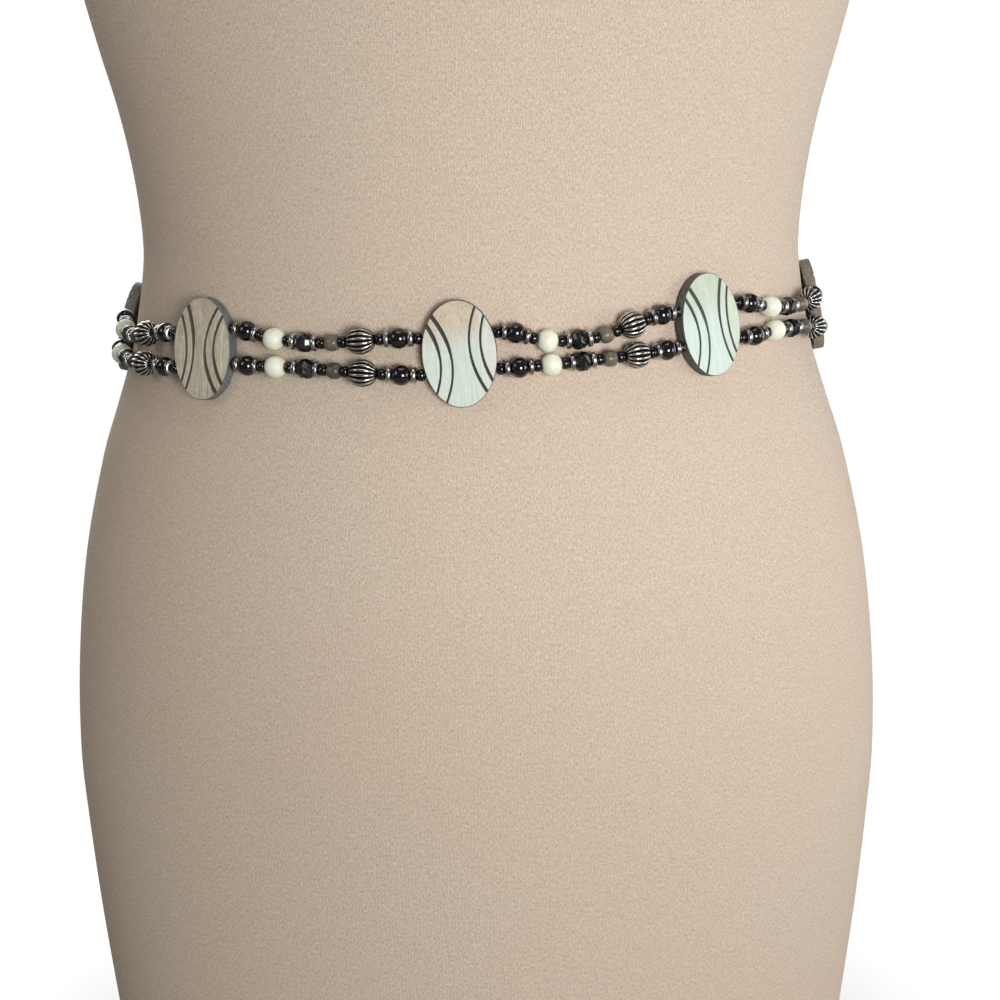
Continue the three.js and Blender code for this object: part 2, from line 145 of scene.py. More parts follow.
SECTION_SAGS = (
    Sag(-3, 0.5),
    Sag(-4, 0.8),
    Sag(-4.5, -1),
    Sag(-3, 0.8),
    Sag(-5.6, 0),
    Sag(-2.6, 2.2),
    Sag(-4, 0.8),
    Sag(-3, 0.5),
)


def linear(code: str) -> tuple[float, float, float, float]:
    """Turn an sRGB hex value into the linear colour that a socket takes.

    Args:
        code: The colour as #rrggbb.

    Returns:
        Red, green and blue in linear light, and an alpha of 1.
    """
    parts = np.array([int(code[i:i + 2], 16) for i in (1, 3, 5)]) / 255
    bright = ((parts + 0.055) / 1.055) ** 2.4
    return (*np.where(parts <= 0.04045, parts / 12.92, bright).tolist(), 1.0)


def per_metre(size: float) -> float:
    """Scale of a pattern on Object coordinates whose features measure this many millimetres."""
    return 1 / (size * METRES)


def wave_scale(repeat: float) -> float:
    """Scale of a wave texture on a map in millimetres, whose bands are sin(20 scale place)."""
    return 2 * math.pi / (20 * repeat)


def unit(vectors: Array) -> Array:
    """Each vector divided by its length."""
    return vectors / np.linalg.norm(vectors, axis=-1, keepdims=True)


def smoothstep(low: float, high: float, value: Array) -> Array:
    """The cubic 3t^2 - 2t^3, where t runs from 0 at low to 1 at high."""
    t = np.clip((value - low) / (high - low), 0, 1)
    return t * t * (3 - 2 * t)


def smooth_column(rows: Sequence[NamedTuple], column: str, at: Array) -> Array:
    """Read one column of a table between its rows.

    Between two rows runs a cubic piece, whose slope at a row is the slope between that row's neighbours.

    Args:
        rows: The table, whose first column is the key.
        column: The column's name.
        at: Values of the key.

    Returns:
        The column's values there.
    """
    keys = np.array([row[0] for row in rows], float)
    values = np.array([getattr(row, column) for row in rows], float)
    index = np.arange(len(keys))
    before = np.maximum(index - 1, 0)
    after = np.minimum(index + 1, len(keys) - 1)
    slopes = (values[after] - values[before]) / (keys[after] - keys[before])
    low = np.clip(np.searchsorted(keys, at, side="right") - 1, 0, len(keys) - 2)
    span = keys[low + 1] - keys[low]
    t = (at - keys[low]) / span
    start = values[low] * (2 * t**3 - 3 * t**2 + 1) + span * slopes[low] * (t**3 - 2 * t**2 + t)
    end = values[low + 1] * (3 * t**2 - 2 * t**3) + span * slopes[low + 1] * (t**3 - t**2)
    return start + end


def edge_inset(radius: float, distance: Array) -> Array:
    """How far a rounded edge draws the outline in: r - sqrt(r^2 - (r - d)^2), and nothing past the radius."""
    rise = np.clip(radius - distance, 0, radius)
    return radius - np.sqrt(radius**2 - rise**2)


@dataclass
class Graph:
    """The node tree of one material or of the world."""

    tree: bpy.types.NodeTree

    def add(
        self,
        kind: str,
        wires: Mapping[str | int, object] | None = None,
        out: str | int = 0,
        **settings: object,
    ) -> Socket:
        """Add one node with its settings and links.

        Args:
            kind: Blender's name of the node type.
            wires: For each input, a value or the output socket that feeds it.
            out: The output to hand back.
            **settings: The node's own properties.

        Returns:
            The chosen output, or the node's first input where it has no output.
        """
        node = self.tree.nodes.new(kind)
        for name, value in settings.items():
            setattr(node, name, value)
        for key, value in (wires or {}).items():
            if isinstance(value, Socket):
                self.tree.links.new(value, node.inputs[key])
            else:
                node.inputs[key].default_value = value
        return node.outputs[out] if node.outputs else node.inputs[0]


@dataclass(frozen=True)
class Finish:
    """What every finish has: its name and a material made from its nodes."""

    name: str

    def surface(self, graph: Graph) -> Socket:
        """Lay out the nodes and return the shader."""
        raise NotImplementedError

    def material(self) -> bpy.types.Material:
        """Make the material.

        Returns:
            The material, with the finish's shader on its output.
        """
        made = bpy.data.materials.new(self.name)
        made.use_nodes = True
        made.node_tree.nodes.clear()
        graph = Graph(made.node_tree)
        graph.add("ShaderNodeOutputMaterial", {"Surface": self.surface(graph)})
        return made


@dataclass(frozen=True)
class StretchJersey(Finish):
    """Cotton and elastane single jersey, circular knitted and stretched over the form.

    It is matt with a short fuzz that lightens it where it turns away. The yarn is flecked, so the eye
    sees a fine grain of lighter and darker stitches, and a few broad warmer and cooler clouds.
    """

    yarn: str = "#e9d9c5"
    fleck: str = "#a38f79"
    blush: str = "#dfb39f"
    wale: float = 1.1
    course: float = 0.9
    grain: float = 0.42
    slub: tuple[float, float] = (0.45, 1.5)
    cloud: float = 110.0
    blush_at: tuple[float, float, float] = (0.095, -0.1, 0.235)
    blush_reach: float = 0.17

    def surface(self, graph: Graph) -> Socket:
        """The real stitches are about 0.6 mm and are drawn at 1.1 by 0.9 mm, so that they show.

        The flecks are a fine noise and a second one drawn out along the wales, as uneven yarn gives. The
        hollows between the stitches get a little painted shade, drawn towards the fleck colour.

        Args:
            graph: The material's node tree.

        Returns:
            The shader.
        """
        place = graph.add("ShaderNodeTexCoord", out="Object")
        thread = graph.add("ShaderNodeUVMap", uv_map="knit")
        wales = graph.add("ShaderNodeTexWave", {"Vector": thread, "Scale": wave_scale(self.wale),
                          "Distortion": 2.0, "Detail": 2.0, "Detail Scale": 0.6},
                          out="Fac", bands_direction="X")
        courses = graph.add("ShaderNodeTexWave", {"Vector": thread, "Scale": wave_scale(self.course),
                            "Distortion": 2.5, "Detail": 2.0, "Detail Scale": 0.5},
                            out="Fac", bands_direction="Y")
        stitch = graph.add("ShaderNodeMath", {0: wales, 1: courses}, operation="MULTIPLY")
        grain = graph.add("ShaderNodeTexNoise", {"Vector": place, "Scale": per_metre(self.grain),
                          "Detail": 2.0, "Roughness": 0.75}, out="Fac")
        drawn = graph.add("ShaderNodeMapping", {"Vector": thread,
                          "Scale": (1 / self.slub[0], 1 / self.slub[1], 1.0)})
        slubs = graph.add("ShaderNodeTexNoise", {"Vector": drawn, "Scale": 1.0, "Detail": 1.0}, out="Fac")
        uneven = graph.add("ShaderNodeMath", {0: slubs, 1: 0.5, 2: grain}, operation="MULTIPLY_ADD")
        speckle = graph.add("ShaderNodeMapRange", {"Value": uneven, "From Min": 0.56, "From Max": 0.98,
                            "To Min": 0.0, "To Max": 0.82})
        flecked = graph.add("ShaderNodeMix", {0: speckle, 6: linear(self.yarn), 7: linear(self.fleck)},
                            out=2, data_type="RGBA")
        # Painted shade: where the stitch wave is low, in the hollows between stitches, the colour is mixed up
        # to 0.07 towards the fleck colour.
        painted_stitch_shade = graph.add("ShaderNodeMapRange", {"Value": stitch, "To Min": 0.07, "To Max": 0.0})
        knitted = graph.add("ShaderNodeMix", {0: painted_stitch_shade, 6: flecked, 7: linear(self.fleck)},
                            out=2, data_type="RGBA")
        cloud = graph.add("ShaderNodeTexNoise", {"Vector": place, "Scale": per_metre(self.cloud),
                          "Detail": 1.0}, out="Fac")
        away = graph.add("ShaderNodeVectorMath", {0: place, 1: self.blush_at}, out="Value",
                         operation="DISTANCE")
        near = graph.add("ShaderNodeMapRange", {"Value": away, "From Min": 0.0,
                         "From Max": self.blush_reach, "To Min": 0.06, "To Max": 0.0},
                         interpolation_type="SMOOTHSTEP")
        drift = graph.add("ShaderNodeMapRange", {"Value": cloud, "From Min": 0.42, "From Max": 0.7,
                          "To Min": 0.0, "To Max": 0.12})
        warm = graph.add("ShaderNodeMath", {0: near, 1: drift}, operation="ADD", use_clamp=True)
        colour = graph.add("ShaderNodeMix", {0: warm, 6: knitted, 7: linear(self.blush)},
                           out=2, data_type="RGBA")
        height = graph.add("ShaderNodeMath", {0: stitch, 1: 0.4, 2: grain}, operation="MULTIPLY_ADD")
        bump = graph.add("ShaderNodeBump", {"Height": height, "Strength": 0.4, "Distance": 0.0004})
        return graph.add("ShaderNodeBsdfPrincipled", {
            "Base Color": colour, "Roughness": 0.92, "Normal": bump, "Specular IOR Level": 0.2,
            "Sheen Weight": 0.06, "Sheen Roughness": 0.45,
        })


@dataclass(frozen=True)
class PaintedWood(Finish):
    """Hardwood slice under a thin chalky paint, rubbed back so that its upright grain shows.

    The face is nearly matt and clouded. The carved lines and the rim are stained dark, and the side
    shows fine streaks. Bare tan wood comes through towards the top of some medallions.
    """

    lower: str = "#cfdccf"
    upper: str = "#c6b8a2"
    flank: str = "#c9d3c0"
    upper_from: float = 4.0
    upper_to: float = 17.0
    flank_from: float = 6.0
    grain_share: float = 0.35
    fleck_share: float = 0.2
    stain: str = "#2d2b29"
    grain_tone: str = "#8d8474"
    dash_tone: str = "#5d5245"
    chalk_tone: str = "#e6ece0"
    side_light: str = "#6f6e69"
    side_dark: str = "#393835"

    def surface(self, graph: Graph) -> Socket:
        """Patterns lie on the medallion's own along, up and out directions, in millimetres.

        Args:
            graph: The material's node tree.

        Returns:
            The shader.
        """
        spot = graph.add("ShaderNodeAttribute", out="Vector", attribute_name="spot")
        carve = graph.add("ShaderNodeAttribute", out="Fac", attribute_name="carve")
        side = graph.add("ShaderNodeAttribute", out="Fac", attribute_name="side")
        along = graph.add("ShaderNodeSeparateXYZ", {0: spot}, out="X")
        up = graph.add("ShaderNodeSeparateXYZ", {0: spot}, out="Y")
        drawn = graph.add("ShaderNodeMapping", {"Vector": spot, "Scale": (1.5, 0.09, 1.5)})
        grain = graph.add("ShaderNodeTexNoise", {"Vector": drawn, "Scale": 1.0, "Detail": 4.0,
                          "Roughness": 0.62, "Distortion": 0.4}, out="Fac")
        short = graph.add("ShaderNodeMapping", {"Vector": spot, "Scale": (2.6, 0.45, 2.6)})
        dashes = graph.add("ShaderNodeTexNoise", {"Vector": short, "Scale": 1.0, "Detail": 2.0}, out="Fac")
        chalk = graph.add("ShaderNodeTexNoise", {"Vector": spot, "Scale": 0.27, "Detail": 5.0,
                          "Roughness": 0.7}, out="Fac")
        ragged = graph.add("ShaderNodeMath", {0: chalk, 1: 12.0, 2: up}, operation="MULTIPLY_ADD")
        bare = graph.add("ShaderNodeMapRange", {"Value": ragged, "From Min": self.upper_from + 6,
                         "From Max": self.upper_to + 6}, interpolation_type="SMOOTHSTEP")
        paint = graph.add("ShaderNodeMix", {0: bare, 6: linear(self.lower), 7: linear(self.upper)},
                          out=2, data_type="RGBA")
        right = graph.add("ShaderNodeMapRange", {"Value": along, "From Min": self.flank_from,
                          "From Max": self.flank_from + 4.0, "To Max": 0.8},
                          interpolation_type="SMOOTHSTEP")
        toned = graph.add("ShaderNodeMix", {0: right, 6: paint, 7: linear(self.flank)},
                          out=2, data_type="RGBA")
        lines = graph.add("ShaderNodeMapRange", {"Value": grain, "From Min": 0.4, "From Max": 0.66,
                          "To Max": self.grain_share})
        grained = graph.add("ShaderNodeMix", {0: lines, 6: toned, 7: linear(self.grain_tone)},
                            out=2, data_type="RGBA")
        dash = graph.add("ShaderNodeMapRange", {"Value": dashes, "From Min": 0.62, "From Max": 0.72,
                         "To Max": self.fleck_share})
        dashed = graph.add("ShaderNodeMath", {0: dash, 1: bare}, operation="MULTIPLY")
        flecked = graph.add("ShaderNodeMix", {0: dashed, 6: grained, 7: linear(self.dash_tone)},
                            out=2, data_type="RGBA")
        pale = graph.add("ShaderNodeMapRange", {"Value": chalk, "From Min": 0.47, "From Max": 0.7,
                         "To Max": 0.36})
        clouded = graph.add("ShaderNodeMix", {0: pale, 6: flecked, 7: linear(self.chalk_tone)},
                            out=2, data_type="RGBA")
        stained = graph.add("ShaderNodeMapRange", {"Value": carve, "From Min": 0.04, "From Max": 0.3})
        face = graph.add("ShaderNodeMix", {0: stained, 6: clouded, 7: linear(self.stain)},
                         out=2, data_type="RGBA")
        streak = graph.add("ShaderNodeMapRange", {"Value": grain, "From Min": 0.35, "From Max": 0.65})
        edge = graph.add("ShaderNodeMix", {0: streak, 6: linear(self.side_dark),
                         7: linear(self.side_light)}, out=2, data_type="RGBA")
        colour = graph.add("ShaderNodeMix", {0: side, 6: face, 7: edge}, out=2, data_type="RGBA")
        bump = graph.add("ShaderNodeBump", {"Height": grain, "Strength": 0.25, "Distance": 0.0003})
        return graph.add("ShaderNodeBsdfPrincipled", {
            "Base Color": colour, "Roughness": 0.58, "Normal": bump, "Specular IOR Level": 0.35,
        })


@dataclass(frozen=True)
class BlackGlass(Finish):
    """Pressed black glass, fire polished: nearly black, with one or two small crisp lights on each bead."""

    colour: str = "#0e0d0e"
    ior: float = 1.6

    def surface(self, graph: Graph) -> Socket:
        """A faint unevenness of the polish breaks the edge of the light.

        Args:
            graph: The material's node tree.

        Returns:
            The shader.
        """
        place = graph.add("ShaderNodeTexCoord", out="Object")
        wave = graph.add("ShaderNodeTexNoise", {"Vector": place, "Scale": per_metre(1.5)}, out="Fac")
        rough = graph.add("ShaderNodeMapRange", {"Value": wave, "To Min": 0.04, "To Max": 0.14})
        bump = graph.add("ShaderNodeBump", {"Height": wave, "Strength": 0.1, "Distance": 0.0002})
        return graph.add("ShaderNodeBsdfPrincipled", {
            "Base Color": linear(self.colour), "Roughness": rough, "Normal": bump, "IOR": self.ior,
        })


@dataclass(frozen=True)
class Hematite(Finish):
    """Hematite, cut in facets and tumbled: a dark grey metal lustre with soft lights on its facets."""

    light: str = "#6c6e6c"
    dark: str = "#434543"
    gloss: tuple[float, float] = (0.22, 0.36)

    def surface(self, graph: Graph) -> Socket:
        """Each bead's tone differs a little, and fine scratches widen the gloss in places.

        Args:
            graph: The material's node tree.

        Returns:
            The shader.
        """
        place = graph.add("ShaderNodeTexCoord", out="Object")
        tone = graph.add("ShaderNodeAttribute", out="Fac", attribute_name="tone")
        wear = graph.add("ShaderNodeTexNoise", {"Vector": place, "Scale": per_metre(0.8),
                         "Detail": 3.0}, out="Fac")
        colour = graph.add("ShaderNodeMix", {0: tone, 6: linear(self.dark), 7: linear(self.light)},
                           out=2, data_type="RGBA")
        rough = graph.add("ShaderNodeMapRange", {"Value": wear, "From Min": 0.3, "From Max": 0.8,
                          "To Min": self.gloss[0], "To Max": self.gloss[1]})
        return graph.add("ShaderNodeBsdfPrincipled", {
            "Base Color": colour, "Metallic": 1.0, "Roughness": rough,
        })


@dataclass(frozen=True)
class PolishedPewter(Hematite):
    """Cast pewter discs, tumbled bright: pale grey, with one broad soft light across the rim."""

    light: str = "#c9c6c1"
    dark: str = "#9a9793"
    gloss: tuple[float, float] = (0.2, 0.36)


@dataclass(frozen=True)
class OxidisedMetal(Finish):
    """Cast pewter with a silver skin, blackened and then rubbed: bright on what stands up, black between."""

    bright: str = "#dad6ce"
    black: str = "#1b1917"
    rub_from: float = 0.4
    rub_to: float = 0.95
    gloss: float = 0.21

    def surface(self, graph: Graph) -> Socket:
        """The relief attribute, 1 on the crests, says how far the black has been rubbed away.

        Args:
            graph: The material's node tree.

        Returns:
            The shader.
        """
        place = graph.add("ShaderNodeTexCoord", out="Object")
        relief = graph.add("ShaderNodeAttribute", out="Fac", attribute_name="relief")
        pits = graph.add("ShaderNodeTexNoise", {"Vector": place, "Scale": per_metre(0.6),
                         "Detail": 3.0, "Roughness": 0.7}, out="Fac")
        worn = graph.add("ShaderNodeMath", {0: pits, 1: 0.5, 2: relief}, operation="MULTIPLY_ADD")
        rubbed = graph.add("ShaderNodeMapRange", {"Value": worn, "From Min": self.rub_from + 0.25,
                           "From Max": self.rub_to + 0.25})
        colour = graph.add("ShaderNodeMix", {0: rubbed, 6: linear(self.black), 7: linear(self.bright)},
                           out=2, data_type="RGBA")
        rough = graph.add("ShaderNodeMapRange", {"Value": rubbed, "To Min": 0.55, "To Max": self.gloss})
        bump = graph.add("ShaderNodeBump", {"Height": pits, "Strength": 0.2, "Distance": 0.0002})
        return graph.add("ShaderNodeBsdfPrincipled", {
            "Base Color": colour, "Metallic": 1.0, "Roughness": rough, "Normal": bump,
        })


@dataclass(frozen=True)
class DyedStone(Finish):
    """Soft pale stone, dyed and waxed: satin, with small clouds of a warmer and a cooler tone."""

    cool: str = "#f0f6e1"
    warm: str = "#efe5ca"

    def surface(self, graph: Graph) -> Socket:
        """Clouds of about 2 mm, and a fine pitted skin.

        Args:
            graph: The material's node tree.

        Returns:
            The shader.
        """
        place = graph.add("ShaderNodeTexCoord", out="Object")
        cloud = graph.add("ShaderNodeTexNoise", {"Vector": place, "Scale": per_metre(3.0),
                          "Detail": 4.0, "Roughness": 0.65}, out="Fac")
        share = graph.add("ShaderNodeMapRange", {"Value": cloud, "From Min": 0.42, "From Max": 0.72})
        colour = graph.add("ShaderNodeMix", {0: share, 6: linear(self.cool), 7: linear(self.warm)},
                           out=2, data_type="RGBA")
        pits = graph.add("ShaderNodeTexNoise", {"Vector": place, "Scale": per_metre(0.5)}, out="Fac")
        bump = graph.add("ShaderNodeBump", {"Height": pits, "Strength": 0.15, "Distance": 0.0002})
        return graph.add("ShaderNodeBsdfPrincipled", {
            "Base Color": colour, "Roughness": 0.42, "Normal": bump, "IOR": 1.52,
        })


@dataclass(frozen=True)
class TurnedNut(Finish):
    """Palm nut turned on a lathe and oiled: brown-grey with thin darker rings round the hole's axis."""

    light: str = "#7f7765"
    dark: str = "#37312c"
    ring: float = 0.7

    def surface(self, graph: Graph) -> Socket:
        """Rings at places along the bead, in millimetres from its middle, clouded by noise.

        Each bead's own tone makes it lighter or darker as a whole.

        Args:
            graph: The material's node tree.

        Returns:
            The shader.
        """
        tone = graph.add("ShaderNodeAttribute", out="Fac", attribute_name="tone")
        place = graph.add("ShaderNodeTexCoord", out="Object")
        axis = graph.add("ShaderNodeAttribute", out="Fac", attribute_name="axis")
        turn = graph.add("ShaderNodeMath", {0: axis, 1: 2 * math.pi / self.ring}, operation="MULTIPLY")
        rings = graph.add("ShaderNodeMath", {0: turn}, operation="SINE")
        cloud = graph.add("ShaderNodeTexNoise", {"Vector": place, "Scale": per_metre(2.2),
                          "Detail": 4.0, "Roughness": 0.7}, out="Fac")
        mixed = graph.add("ShaderNodeMath", {0: rings, 1: 0.12, 2: cloud}, operation="MULTIPLY_ADD")
        toned = graph.add("ShaderNodeMath", {0: tone, 1: 0.45, 2: mixed}, operation="MULTIPLY_ADD")
        share = graph.add("ShaderNodeMapRange", {"Value": toned, "From Min": 0.45, "From Max": 1.05})
        colour = graph.add("ShaderNodeMix", {0: share, 6: linear(self.dark), 7: linear(self.light)},
                           out=2, data_type="RGBA")
        bump = graph.add("ShaderNodeBump", {"Height": mixed, "Strength": 0.2, "Distance": 0.0002})
        return graph.add("ShaderNodeBsdfPrincipled", {
            "Base Color": colour, "Roughness": 0.3, "Normal": bump,
        })


@dataclass(frozen=True)
class WaxedThread(Finish):
    """Waxed polyester beading thread, twisted from three plies: dark, a little shiny, with a slanted lay."""

    light: str = "#4a443f"
    dark: str = "#1f1c1a"
    lay: float = 1.4

    def surface(self, graph: Graph) -> Socket:
        """The twist is a slanted wave on the tube's own map, in millimetres.

        Args:
            graph: The material's node tree.

        Returns:
            The shader.
        """
        tube = graph.add("ShaderNodeUVMap", uv_map="tube")
        plies = graph.add("ShaderNodeTexWave", {"Vector": tube, "Scale": wave_scale(self.lay)},
                          out="Fac", bands_direction="DIAGONAL")
        # Painted shade and highlight: the colour runs darker where the ply wave is low, in the grooves
        # between the plies, and lighter on their crests.
        colour = graph.add("ShaderNodeMix", {0: plies, 6: linear(self.dark), 7: linear(self.light)},
                           out=2, data_type="RGBA")
        bump = graph.add("ShaderNodeBump", {"Height": plies, "Strength": 0.4, "Distance": 0.0001})
        return graph.add("ShaderNodeBsdfPrincipled", {
            "Base Color": colour, "Roughness": 0.48, "Normal": bump,
        })


@dataclass(frozen=True)
class AgedWire(Finish):
    """Cast and drawn brass under a dark antique plating, a little rubbed on its skin."""

    bright: str = "#a39c90"
    dark: str = "#4a4642"

    def surface(self, graph: Graph) -> Socket:
        """Rubbed clouds of about 3 mm, and fine draw marks in the gloss.

        Args:
            graph: The material's node tree.

        Returns:
            The shader.
        """
        place = graph.add("ShaderNodeTexCoord", out="Object")
        cloud = graph.add("ShaderNodeTexNoise", {"Vector": place, "Scale": per_metre(3.0),
                          "Detail": 4.0, "Roughness": 0.6}, out="Fac")
        marks = graph.add("ShaderNodeTexNoise", {"Vector": place, "Scale": per_metre(0.4)}, out="Fac")
        share = graph.add("ShaderNodeMapRange", {"Value": cloud, "From Min": 0.4, "From Max": 0.66})
        colour = graph.add("ShaderNodeMix", {0: share, 6: linear(self.dark), 7: linear(self.bright)},
                           out=2, data_type="RGBA")
        rough = graph.add("ShaderNodeMapRange", {"Value": marks, "To Min": 0.22, "To Max": 0.5})
        return graph.add("ShaderNodeBsdfPrincipled", {
            "Base Color": colour, "Metallic": 1.0, "Roughness": rough,
        })


@dataclass
class Shape:
    """Points and faces of a piece, with the values that its finish reads."""

    points: Array
    faces: list[Array]
    fields: dict[str, Array] = field(default_factory=dict)
    chart: dict[str, Array] = field(default_factory=dict)

    def build(self, name: str, finish: Finish, slot: Slot, smooth: bool = True) -> bpy.types.Object:
        """Write the shape into a mesh object and let it ride on the part.

        Args:
            name: The piece's name.
            finish: What it is dressed in.
            slot: The record's slot for that finish; not used.
            smooth: Whether the faces are shaded as one round surface.

        Returns:
            The new object, at the origin and unturned.
        """
        mesh = bpy.data.meshes.new(name)
        faces = [face for block in self.faces for face in block.tolist()]
        mesh.from_pydata((self.points * METRES).tolist(), [], faces)
        for key, values in self.fields.items():
            kind = "FLOAT_VECTOR" if values.ndim > 1 else "FLOAT"
            entry = "vector" if values.ndim > 1 else "value"
            store = mesh.attributes.new(key, kind, "POINT")
            store.data.foreach_set(entry, values.astype(np.float32).ravel())
        for key, values in self.chart.items():
            store = mesh.uv_layers.new(name=key)
            store.data.foreach_set("uv", values.astype(np.float32).ravel())
        mesh.polygons.foreach_set("use_smooth", np.full(len(faces), smooth))
        mesh.materials.append(finish.material())
        piece = bpy.data.objects.new(name, mesh)
        bpy.context.scene.collection.objects.link(piece)
        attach(piece, "root")
        LOG.info("%s: %d points, %d faces", name, len(mesh.vertices), len(mesh.polygons))
        return piece


def joined(shapes: Sequence[Shape]) -> Shape:
    """One shape that holds several, each still a closed body of its own.

    Args:
        shapes: Shapes that have the same fields and maps.

    Returns:
        Their points, faces, fields and maps in one.
    """
    starts = np.cumsum([0] + [len(shape.points) for shape in shapes[:-1]])
    faces = [block + start for shape, start in zip(shapes, starts) for block in shape.faces]
    fields = {key: np.concatenate([shape.fields[key] for shape in shapes]) for key in shapes[0].fields}
    chart = {key: np.concatenate([shape.chart[key] for shape in shapes]) for key in shapes[0].chart}
    return Shape(np.concatenate([shape.points for shape in shapes]), faces, fields, chart)


def grid_faces(rows: int, columns: int, wrap_rows: bool = False) -> Array:
    """Four-cornered faces of a grid whose columns close round.

    The corners of a face run along the row first, so the faces point out where rows run anticlockwise
    seen from the last row.

    Args:
        rows: Number of rings.
        columns: Points in a ring.
        wrap_rows: Whether the last ring joins the first.

    Returns:
        Point numbers, one line of four for each face.
    """
    row = np.arange(rows if wrap_rows else rows - 1)[:, None]
    column = np.arange(columns)[None, :]
    above = (row + 1) % rows
    beside = (column + 1) % columns
    low, high = row * columns, above * columns
    return np.stack((low + column, low + beside, high + beside, high + column), axis=-1).reshape(-1, 4)


def closed_rings(rings: Array) -> Shape:
    """Rings joined by four-cornered faces, with a fan from the middle of each end ring.

    Args:
        rings: Points as (ring, place in the ring, 3), anticlockwise seen from the last ring.

    Returns:
        The closed shape, whose last two points are the middles of the fans.
    """
    count, sides = rings.shape[:2]
    column = np.arange(sides)
    beside = (column + 1) % sides
    total = count * sides
    last = (count - 1) * sides
    low = np.stack((np.full_like(column, total), beside, column), axis=-1)
    high = np.stack((np.full_like(column, total + 1), last + column, last + beside), axis=-1)
    points = np.concatenate((rings.reshape(-1, 3), rings[[0, -1]].mean(axis=1)))
    return Shape(points, [grid_faces(count, sides), low, high])


def ring_chart(rows: int, columns: int, across: float, levels: Array) -> Array:
    """Map closed rings in millimetres, unbroken where their columns close and blank on the two fans.

    Args:
        rows: Number of rings.
        columns: Points in a ring.
        across: Length of the map round a ring.
        levels: Place of each ring along the map.

    Returns:
        A pair for each corner of each face that closed_rings gives.
    """
    row = np.arange(rows - 1)[:, None, None] + np.array([0, 0, 1, 1])
    column = np.arange(columns)[None, :, None] + np.array([0, 1, 1, 0])
    row, column = np.broadcast_arrays(row, column)
    wall = np.stack((column * across / columns, levels[row]), axis=-1).reshape(-1, 2)
    fans = np.zeros((2 * 3 * columns, 2))
    return np.concatenate((wall, fans))


@dataclass
class Seat:
    """A place on the form with its own directions: along the belt, up the surface and out of it."""

    origin: Array
    along: Array
    up: Array
    out: Array

    def world(self, along: Array, up: Array, out: Array) -> Array:
        """Points given in the seat's directions, in the part's own."""
        steps = np.stack(np.broadcast_arrays(along, up, out), axis=-1)
        return self.origin + steps @ np.stack((self.along, self.up, self.out))

    def leaning(self, degrees: float) -> Seat:
        """The same seat tipped about its outward direction, its top to the left.

        Args:
            degrees: The angle.

        Returns:
            The new seat.
        """
        turn = math.radians(degrees)
        along = self.along * math.cos(turn) + self.up * math.sin(turn)
        up = self.up * math.cos(turn) - self.along * math.sin(turn)
        return Seat(self.origin, along, up, self.out)

    def turned(self, degrees: float) -> Seat:
        """The same seat swung about its upward direction, its right side out.

        Args:
            degrees: The angle.

        Returns:
            The new seat.
        """
        turn = math.radians(degrees)
        along = self.along * math.cos(turn) + self.out * math.sin(turn)
        out = self.out * math.cos(turn) - self.along * math.sin(turn)
        return Seat(self.origin, along, self.up, out)

    def lifted(self, distance: float) -> Seat:
        """The same seat moved outwards."""
        return Seat(self.origin + self.out * distance, self.along, self.up, self.out)


